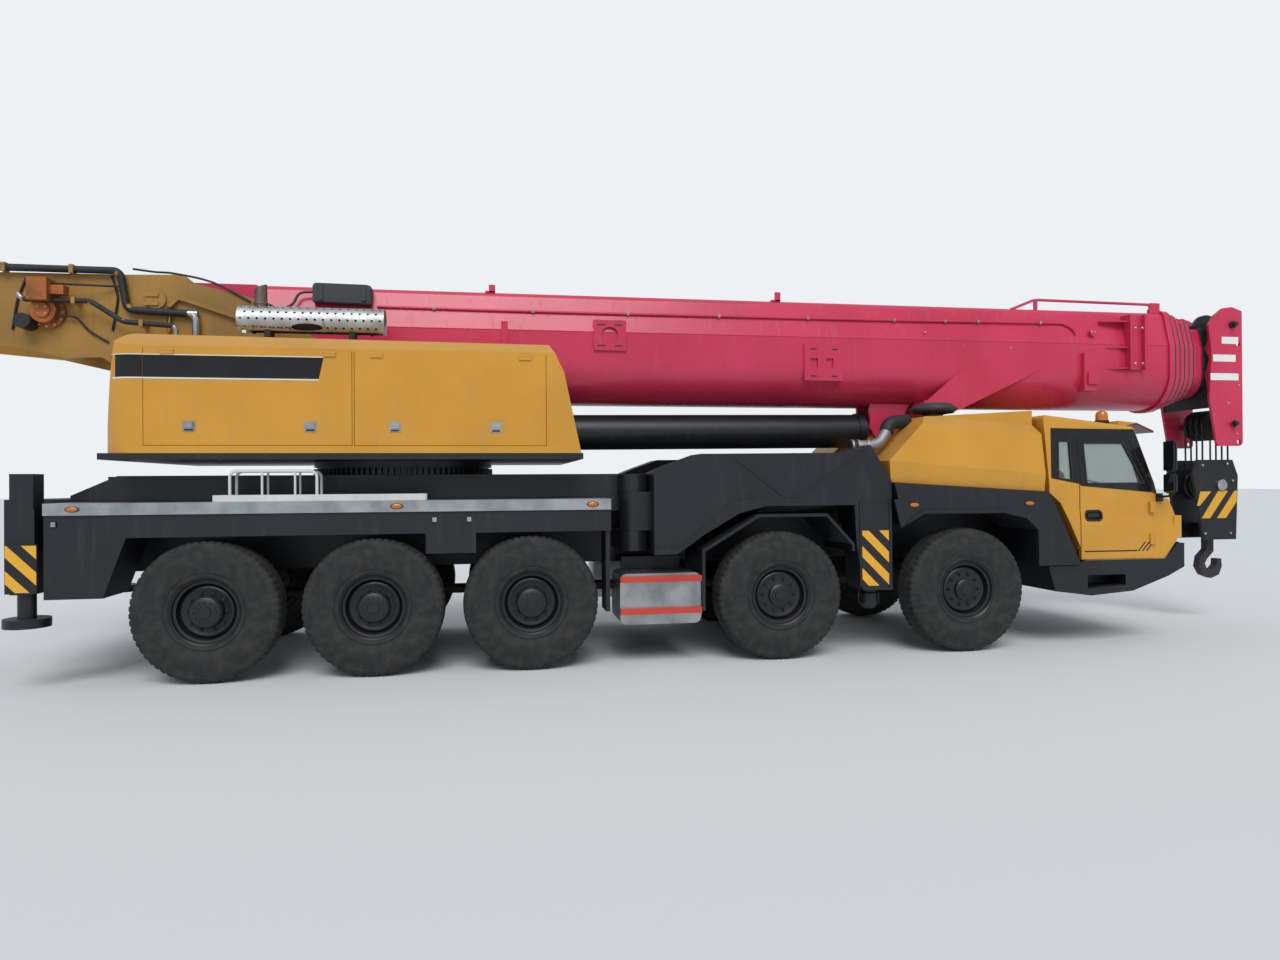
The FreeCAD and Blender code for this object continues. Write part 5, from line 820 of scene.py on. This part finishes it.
# Silencer
# A perforated stainless shield round a darker can, with pressed ribs and a heat-stained tailpipe.
# The shield is rolled from one sheet with staggered rows of holes and an oval opening below.

SHIELD_BACK, SHIELD_FRONT = -4.333, -2.936
SHIELD_Y, SHIELD_Z, SHIELD_R = -0.950, 3.500, 0.140
COLUMNS = 18
heat_stained = bare_metal("heat_stained_steel", "#8B8078", "#584C45", 0.42, 30)
sooty_steel = sprayed("sooty_steel", "#1C1A19", "#2A2522", "#3A322C", 0.5, 0.7)
shield_steel = bare_metal("dull_stainless_sheet", "#C2C3C4", "#A3A3A2", 0.5, 30)


def rolled(x, turn):
    """A place on the shield from X and the angle in degrees above the near side's middle."""
    angle = math.radians(turn)
    return (x, SHIELD_Y - SHIELD_R * math.cos(angle), SHIELD_Z + SHIELD_R * math.sin(angle))


def pierced(mesh, x1, x2, turn1, turn2, hole_x, hole_turn, sides):
    """Add one cell of the shield with an oval hole, its border and hole having four times `sides` points."""
    x, turn = (x1 + x2) / 2, (turn1 + turn2) / 2
    border, hole = [], []
    for side in range(4):
        for step in range(sides):
            share = step / sides * 2 - 1
            a, b = [(share, -1), (1, share), (-share, 1), (-1, -share)][side]
            border.append(mesh.verts.new(rolled(x + a * (x2 - x1) / 2, turn + b * (turn2 - turn1) / 2)))
            angle = math.atan2(b, a)
            spot = rolled(x + hole_x * math.cos(angle), turn + hole_turn * math.sin(angle))
            hole.append(mesh.verts.new(spot))
    joined(mesh, [border, hole])


shield = bmesh.new()
wide = (SHIELD_FRONT - SHIELD_BACK) / COLUMNS
rows = [-55, -16] + [-16 + 28 * row for row in range(1, 8)] + [235]
for row, (low, high) in enumerate(zip(rows, rows[1:])):
    shift = 0 if row % 2 else 0.5
    column = 0
    while column < COLUMNS:
        x = SHIELD_BACK + (column + shift) * wide
        if row == 0 and column == 6:
            pierced(shield, x, x + 4 * wide, low, high, 0.150, 17.5, 8)
            column += 4
            continue
        if x + wide < SHIELD_FRONT + 0.001:
            pierced(shield, x, x + wide, low, high, 0.0125, 5.1, 2)
        column += 1
    for x in ((SHIELD_BACK, SHIELD_FRONT - wide / 2) if shift else ()):
        corners = oblong(x, x + wide / 2, low, high)
        shield.faces.new([shield.verts.new(rolled(*corner)) for corner in corners])
bmesh.ops.remove_doubles(shield, verts=shield.verts[:], dist=0.0005)
bmesh.ops.recalc_face_normals(shield, faces=shield.faces[:])
bmesh.ops.solidify(shield, geom=shield.faces[:], thickness=0.004)
can, stack = bmesh.new(), bmesh.new()
turned(can, [(-4.303, 0), (-4.303, 0.090), (-4.295, 0.100), (-2.974, 0.100), (-2.966, 0.090), (-2.966, 0)],
       (0, SHIELD_Y, SHIELD_Z), "x", 32)
for x in (-4.213, -3.076):
    rib = [(0, 0.098), (0, 0.1355), (0.020, 0.1355), (0.020, 0.098)]
    turned(can, rib, (x, SHIELD_Y, SHIELD_Z), "x", 32)
for x in (-4.083, -3.283):
    bar(can, x, x + 0.060, SHIELD_Y - 0.090, SHIELD_Y + 0.090, 3.302, 3.440, 0.004)
STACK_X = -4.133
rings = []
for radius, tall in ((0.060, 3.600), (0.060, None), (0.0565, None), (0.0565, 3.640)):
    ring = []
    for step in range(32):
        x, y = radius * math.cos(step * math.pi / 16), radius * math.sin(step * math.pi / 16)
        ring.append(stack.verts.new((STACK_X + x, SHIELD_Y + y, tall or 3.828 + 0.46 * x)))
    rings.append(ring)
joined(stack, rings)
stack.faces.new(rings[-1])
bmesh.ops.recalc_face_normals(stack, faces=stack.faces[:])
turned(stack, [(-0.010, 0.060), (-0.010, 0.070), (0.010, 0.070), (0.010, 0.060)],
       (STACK_X, SHIELD_Y, 3.665), "z", 32)
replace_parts(piece("silencer_shield", shield, shield_steel, "turntable"), "muffler")
piece("silencer_can", can, sooty_steel, "turntable")
piece("tailpipe", stack, heat_stained, "turntable")

# Turntable tail
# Orange-brown hoist motor, black hoses with zinc ends, a black accumulator and thin cables on the cheek.
# The motor is cast iron, bolted on a ring; hoses are rubber over wire braid.


def near_line(points, reach):
    """A test of whether a face's middle lies within reach of a line through points."""
    line = [Vector(point) for point in points]

    def test(spot, normal):
        for start, end in zip(line, line[1:]):
            share = min(max((spot - start).dot(end - start) / (end - start).length_squared, 0), 1)
            if (spot - start.lerp(end, share)).length < reach:
                return True
        return False

    return test


def on_motor(spot, normal):
    """Whether a face of the turntable belongs to the hoist motor on its cheek."""
    return spot.y < -0.540 and -6.42 < spot.x < -6.01 and 3.42 < spot.z < 3.91


HOSE_REACH, THIN_HOSE_REACH = 0.0385, 0.0285
main_hose = [(-7.730, -0.587, 4.030), (-5.560, -0.587, 4.030), (-5.500, -0.587, 3.640),
             (-4.900, -0.587, 3.613), (-4.850, -0.587, 3.613), (-4.850, -0.587, 3.330)]
second_hose = [(-6.450, -0.677, 3.760), (-6.420, -0.677, 3.700), (-5.800, -0.677, 3.700),
               (-5.500, -0.677, 3.500), (-5.010, -0.677, 3.471), (-5.010, -0.677, 3.330)]
accumulator = [(-6.400, -0.560, 3.485), (-6.400, -0.720, 3.485)]
motor_iron = cast("motor_cast_iron", "#B3662E", "#6E4A2C", 20)
# The turntable's gold is darker and browner than the body's yellow, and turns dark brown in patches on upper
# faces and in streaks.
turntable_enamel = sprayed("turntable_enamel", "#A67C33", "#8A682B", "#544838", 0.8, 0.4)
dress("turntable", turntable_enamel,
      (chassis_enamel, lambda spot, normal: spot.z < 2.172),
      (motor_iron, on_motor),
      (black_rubber, near_line(accumulator, 0.08)),
      (black_rubber, near_line(main_hose, HOSE_REACH)),
      (black_rubber, near_line(second_hose, THIN_HOSE_REACH)),
      (zinc, near_line(main_hose[3:], HOSE_REACH)),
      (zinc, near_line(second_hose[4:], THIN_HOSE_REACH)),
      (zinc, near_line(second_hose[:2], THIN_HOSE_REACH)))
dress("winch_drum", sprayed("winch_enamel", "#B5602A", "#8E4A22", "#4A3B2C", 0.8, 0.45))
motor_bolts, cables, clamps = bmesh.new(), bmesh.new(), bmesh.new()
bolts(motor_bolts, about(-6.240, -0.5752, 3.600, 0.143, 12), "y", 0.014, -1)
bolts(motor_bolts, about(-6.240, -0.685, 3.600, 0.050, 4, 0.8), "y", 0.010, -1)
for line in ([(-6.100, -0.600, 3.560), (-5.969, -0.585, 3.545), (-5.859, -0.560, 3.422),
              (-5.687, -0.548, 3.310)],
             [(-5.655, -0.548, 3.985), (-5.606, -0.548, 3.808), (-5.606, -0.548, 3.700),
              (-5.650, -0.548, 3.430)],
             [(-6.180, -0.700, 3.862), (-5.850, -0.640, 3.866), (-5.545, -0.552, 3.879)],
             [(-6.429, -0.548, 3.955), (-6.514, -0.548, 3.726), (-6.562, -0.548, 3.420)],
             [(-5.470, -0.520, 4.070), (-5.281, -0.460, 4.060), (-5.078, -0.500, 4.040),
              (-4.700, -0.548, 3.952), (-4.330, -0.552, 3.760)]):
    pipe(cables, line, 0.011, 8, 5)
for x in (-7.300, -6.611, -6.000):
    bolts(clamps, [(x, -0.6292, 4.062), (x, -0.6292, 3.998)], "y", 0.009, -1)
piece("motor_bolts", motor_bolts, zinc, "turntable")
piece("tail_cables", cables, black_rubber, "turntable")
piece("hose_clip_bolts", clamps, zinc, "turntable")

# Operator's cab
# Folded steel sheet in the body's yellow, with its door and panes; the seat's foam stands on a moulded base.
# Two low arm rests carry the levers.

dress("operator_cab", body_enamel, edge=0.012)
dress("operator_door", body_enamel, edge=0.012)
base = bmesh.new()
bar(base, -2.290, -1.870, 0.830, 1.200, 2.206, 2.500, 0.02)
for y in (0.800, 1.215):
    bar(base, -2.200, -1.860, y - 0.030, y + 0.030, 2.640, 2.700, 0.015)
    bar(base, -2.180, -2.120, y - 0.015, y + 0.015, 2.480, 2.660, 0.008)
    pipe(base, [(-1.900, y, 2.690), (-1.895, y, 2.800)], 0.012, 10, 1)
piece("operator_seat_base", base, dash_plastic, "turntable")
for label, box in (("operator_cushion", (-2.262, -1.838, 0.838, 1.192, 2.500, 2.648)),
                   ("operator_back", (-2.345, -2.235, 0.838, 1.192, 2.620, 3.190))):
    piece(label, cushion(*box), seat_cloth, "turntable", 60)

# Boom
# Folded and welded high-strength steel sections, sprayed in crimson enamel, over a hard chromed lift rod.
# The gloss shows long soft reflections along the flat sides and the rounded belly.

dress("lift_rod", bare_metal("hard_chrome", "#D5D7DA", "#C6C8CB", 0.12))
boom_enamel = sprayed("boom_enamel", "#CC3659", "#C02E4E", "#9A6A66", 0.4, 0.26)
for node in ("boom_base", "boom_section_2", "boom_section_3", "boom_section_4", "boom_section_5"):
    dress(node, boom_enamel)
dress("lift_barrel", chassis_enamel)

# Boom fittings
# A weld bead along each seam, the tagged pipe with its clips, the bracket's bolts and the black control box.
# The pipe is sprayed with the boom and the clips are zinc plated; the box is moulded plastic.

BOOM_HALF = 0.475
SEAM_Z = 3.550
bead, line, clips, tabs, box, fixings = [bmesh.new() for count in range(6)]
for side in (-1, 1):
    skin = side * (BOOM_HALF + 0.0002)
    pipe(bead, [(-4.280, skin, SEAM_Z), (6.540, skin, SEAM_Z)], 0.0045, 6, 1)
pipe(line, [(-3.080, -0.442, 3.772), (-1.410, -0.444, 3.765), (0.717, -0.443, 3.770), (2.872, -0.441, 3.779),
            (4.900, -0.436, 3.800), (5.120, -0.436, 3.792), (5.235, -0.452, 3.735), (5.278, -0.462, 3.660)],
     0.013, 10, 6)
for x, z in ((-2.480, 3.7695), (-1.410, 3.765), (-0.344, 3.7675), (0.717, 3.770), (1.793, 3.7745),
             (2.872, 3.779), (3.530, 3.785), (3.964, 3.790), (4.800, 3.7985)):
    bar(clips, x - 0.015, x + 0.015, -0.462, -0.412, z - 0.020, z + 0.020, 0.006)
    bolts(clips, [(x, -0.462, z)], "y", 0.009, -1)
for x, top in ((-1.857, 4.068), (1.457, 4.090)):
    bar(tabs, x - 0.035, x + 0.035, -0.350, -0.335, 3.975, top, 0.003)
    bar(tabs, x - 0.075, x + 0.035, -0.350, -0.290, 3.978, 4.000, 0.003)
bolts(fixings, [(x, -0.4952 - 0.0718, z) for x in (6.020, 6.120) for z in (3.745, 3.302)], "y", 0.017, -1)
turned(tabs, [(0, 0.046), (-0.020, 0.044), (-0.024, 0.036), (-0.024, 0)], (5.495, -0.474, 3.690), "y", 24)
bolts(fixings, [(5.495 + a, -0.498, 3.690 + b) for a, b in ((-0.022, 0), (0.022, 0))], "y", 0.008, -1)
bolts(fixings, [(x, -0.4752, z) for x, z in ((3.260, 3.640), (3.749, 3.480), (4.384, 3.470))],
      "y", 0.011, -1)
plates = [(x, z, 0.045) for x in (-0.655, -0.462) for z in (3.394, 3.627)]
plates += [(x, z, 0.040) for x in (1.838, 2.100) for z in (3.090, 3.406)]
for side in (-1, 1):
    for x, z, half in plates:
        strap = oblong(x - half, x + half, z - 0.010, z + 0.010)
        plate(box, strap, side * 0.4985, side * 0.5022, edge=0.001)
plate(box, [(-3.724, 3.786), (-3.130, 3.770), (-3.122, 3.962), (-3.160, 3.984), (-3.700, 3.990),
            (-3.724, 3.970)], -0.530, -0.380, edge=0.010)
for x in (-3.640, -3.200):
    bar(box, x - 0.025, x + 0.025, -0.545, -0.520, 3.800, 3.960, 0.006)
pipe(box, [(-3.724, -0.470, 3.900), (-3.860, -0.480, 3.880), (-3.930, -0.500, 3.760),
           (-4.050, -0.520, 3.700), (-4.150, -0.550, 3.740)], 0.014, 8, 5)
for name, mesh, finish, slot in (("seam_bead", bead, boom_enamel, "boom_red"),
                                 ("boom_pipe", line, boom_enamel, "boom_red"),
                                 ("pipe_clips", clips, zinc, "bright_metal"),
                                 ("boom_tabs", tabs, boom_enamel, "boom_red"),
                                 ("control_box", box, dash_plastic, "chassis_black"),
                                 ("bracket_bolts", fixings, zinc, "bright_metal")):
    piece(name, mesh, finish, "boom_base")

# Boom mouths
# A black wiper ring lies in each section's mouth, with a rope guide of two posts and a roller on top.
# The ring is partly a real wiper and partly painted shade: its dark band fills the gap between collars,
# where shadow falls.
# The rings are cast polyamide, bolted in; the guides are welded flat steel.

STEP_IN = 0.036
BOOM_TOP = 3.985


def mouth(step, inset):
    """Half outline in Y and Z of a boom section's form, moved inward, from its belly to its top's middle."""
    closer = STEP_IN * step
    half, low, top = BOOM_HALF - closer - inset, 2.762 + closer + inset, BOOM_TOP - closer - inset
    crown = half - 0.105 * (top - SEAM_Z) / 0.435
    round_low, round_top = 0.455 - closer - inset, 0.090 - 0.012 * step - inset / 3
    points = [(0, low)]
    for angle in [math.radians(-90 + turn * 11.25) for turn in range(9)]:
        points.append((half - round_low + round_low * math.cos(angle),
                       low + round_low + round_low * math.sin(angle)))
    points += [(half, SEAM_Z), (crown + 0.015, top - round_top)]
    for angle in [math.radians(turn * 22.5) for turn in range(1, 5)]:
        points.append((crown - round_top * 0.8 + round_top * 0.95 * math.cos(angle),
                       top - round_top + round_top * math.sin(angle)))
    return points + [(0, top)]


for step in range(5):
    wiper_and_gap_shade, guide = bmesh.new(), bmesh.new()
    front = 6.636 + 0.097 * step
    outer, inner = mouth(step, -0.025), mouth(step + 1, -0.005)
    outer, inner = [points + [(-y, z) for y, z in reversed(points[1:-1])] for points in (outer, inner)]
    # The dark ring is partly painted shade for the shadowed gap in front of each collar.
    framed(wiper_and_gap_shade, outer, inner, front - 0.003, front + 0.021, "front")
    top = BOOM_TOP - STEP_IN * step + 0.020
    for y in (-0.200, -0.110):
        bar(guide, front - 0.060, front - 0.020, y - 0.005, y + 0.005, top - 0.020, top + 0.075, 0.003)
    turned(guide, [(-0.200, 0.014), (-0.110, 0.014)], (front - 0.040, 0, top + 0.055), "y", 16)
    body = "boom_base" if step == 0 else "boom_section_%d" % (step + 1)
    piece("wiper_%d" % (step + 1), wiper_and_gap_shade, dash_plastic, body)
    piece("rope_guide_%d" % (step + 1), guide, boom_enamel, body)

# Boom head
# Three white bars of reflective film on the side plates, and black sheaves and pins between them.
# The head is welded from plate and sprayed with the boom; its pins are held by bolted keepers.


def on_head(spot, normal):
    """Whether a face of the last section belongs to the sheaves and pins of the head."""
    pins = abs(spot.y) > 0.425 and abs(spot.z - 3.1) > 0.4
    return spot.x > 7.215 and abs(spot.y) < 0.34 or spot.x > 7.22 and pins


HEAD_SIDE = 0.4202
dress("boom_section_6", boom_enamel, (black_rubber, on_head))
white_film = plain("beaded_white_film", "#E8E6E1", Roughness=0.35)
bars, pins = bmesh.new(), bmesh.new()
for side in (-1, 1):
    for back, front, low, high in ((7.395, 7.640, 3.600, 3.690), (7.265, 7.600, 3.370, 3.460),
                                   (7.225, 7.640, 3.130, 3.220)):
        plate(bars, oblong(back, front, low, high), side * HEAD_SIDE, side * 0.4222, edge=0.0005)
    places = [(x, side * HEAD_SIDE, z) for x, z in ((7.486, 2.839), (7.645, 3.065), (7.615, 2.440))]
    bolts(pins, places, "y", 0.012, side)
piece("head_bars", bars, white_film, "boom_section_6")
piece("head_bolts", pins, zinc, "boom_section_6")

# Hook block
# Yellow reflective bars slant across the near-black side plates; wire ropes run down to the sheaves.
# The hook is forged steel; the ropes are twisted bright wire, greased dark.

BLOCK_SIDE = 0.2352
BOSS_X, BOSS_Z = 7.548, 1.782
rope_wire = bare_metal("greased_wire_rope", "#4B4844", "#2C2A28", 0.45, 8)
forged_steel = cast("forged_steel", "#34363A", "#4A423A", 16)
dress("hook_block", chassis_enamel, (rope_wire, lambda spot, normal: 2.113 < spot.z < 3.0),
      (forged_steel, lambda spot, normal: 0 < spot.z < 1.040))
yellow_film = plain("beaded_yellow_film", "#DDA32A", Roughness=0.34)
bars, bosses = bmesh.new(), bmesh.new()
for side in (-1, 1):
    for outline in ([(7.180, 1.512), (7.222, 1.512), (7.395, 1.698), (7.232, 1.698)],
                    [(7.248, 1.348), (7.374, 1.348), (7.646, 1.705), (7.500, 1.705)],
                    [(7.477, 1.348), (7.611, 1.348), (7.776, 1.560), (7.783, 1.705), (7.745, 1.705)]):
        plate(bars, outline, side * BLOCK_SIDE, side * 0.2375, edge=0.0005)
    turned(bosses, [(0, 0.075), (side * 0.022, 0.072), (side * 0.026, 0.060), (side * 0.026, 0.030),
                    (side * 0.020, 0.026), (side * 0.020, 0)], (BOSS_X, side * BLOCK_SIDE, BOSS_Z), "y", 32)
    bolts(bosses, about(BOSS_X, side * 0.2612, BOSS_Z, 0.048, 6), "y", 0.008, side)
    corners = ((7.270, 2.040), (7.640, 2.060), (7.300, 1.150), (7.680, 1.150), (7.720, 1.836))
    bolts(bosses, [(x, side * BLOCK_SIDE, z) for x, z in corners], "y", 0.016, side)
piece("block_bars", bars, yellow_film, "hook_block")
piece("block_bolts", bosses, zinc, "hook_block")
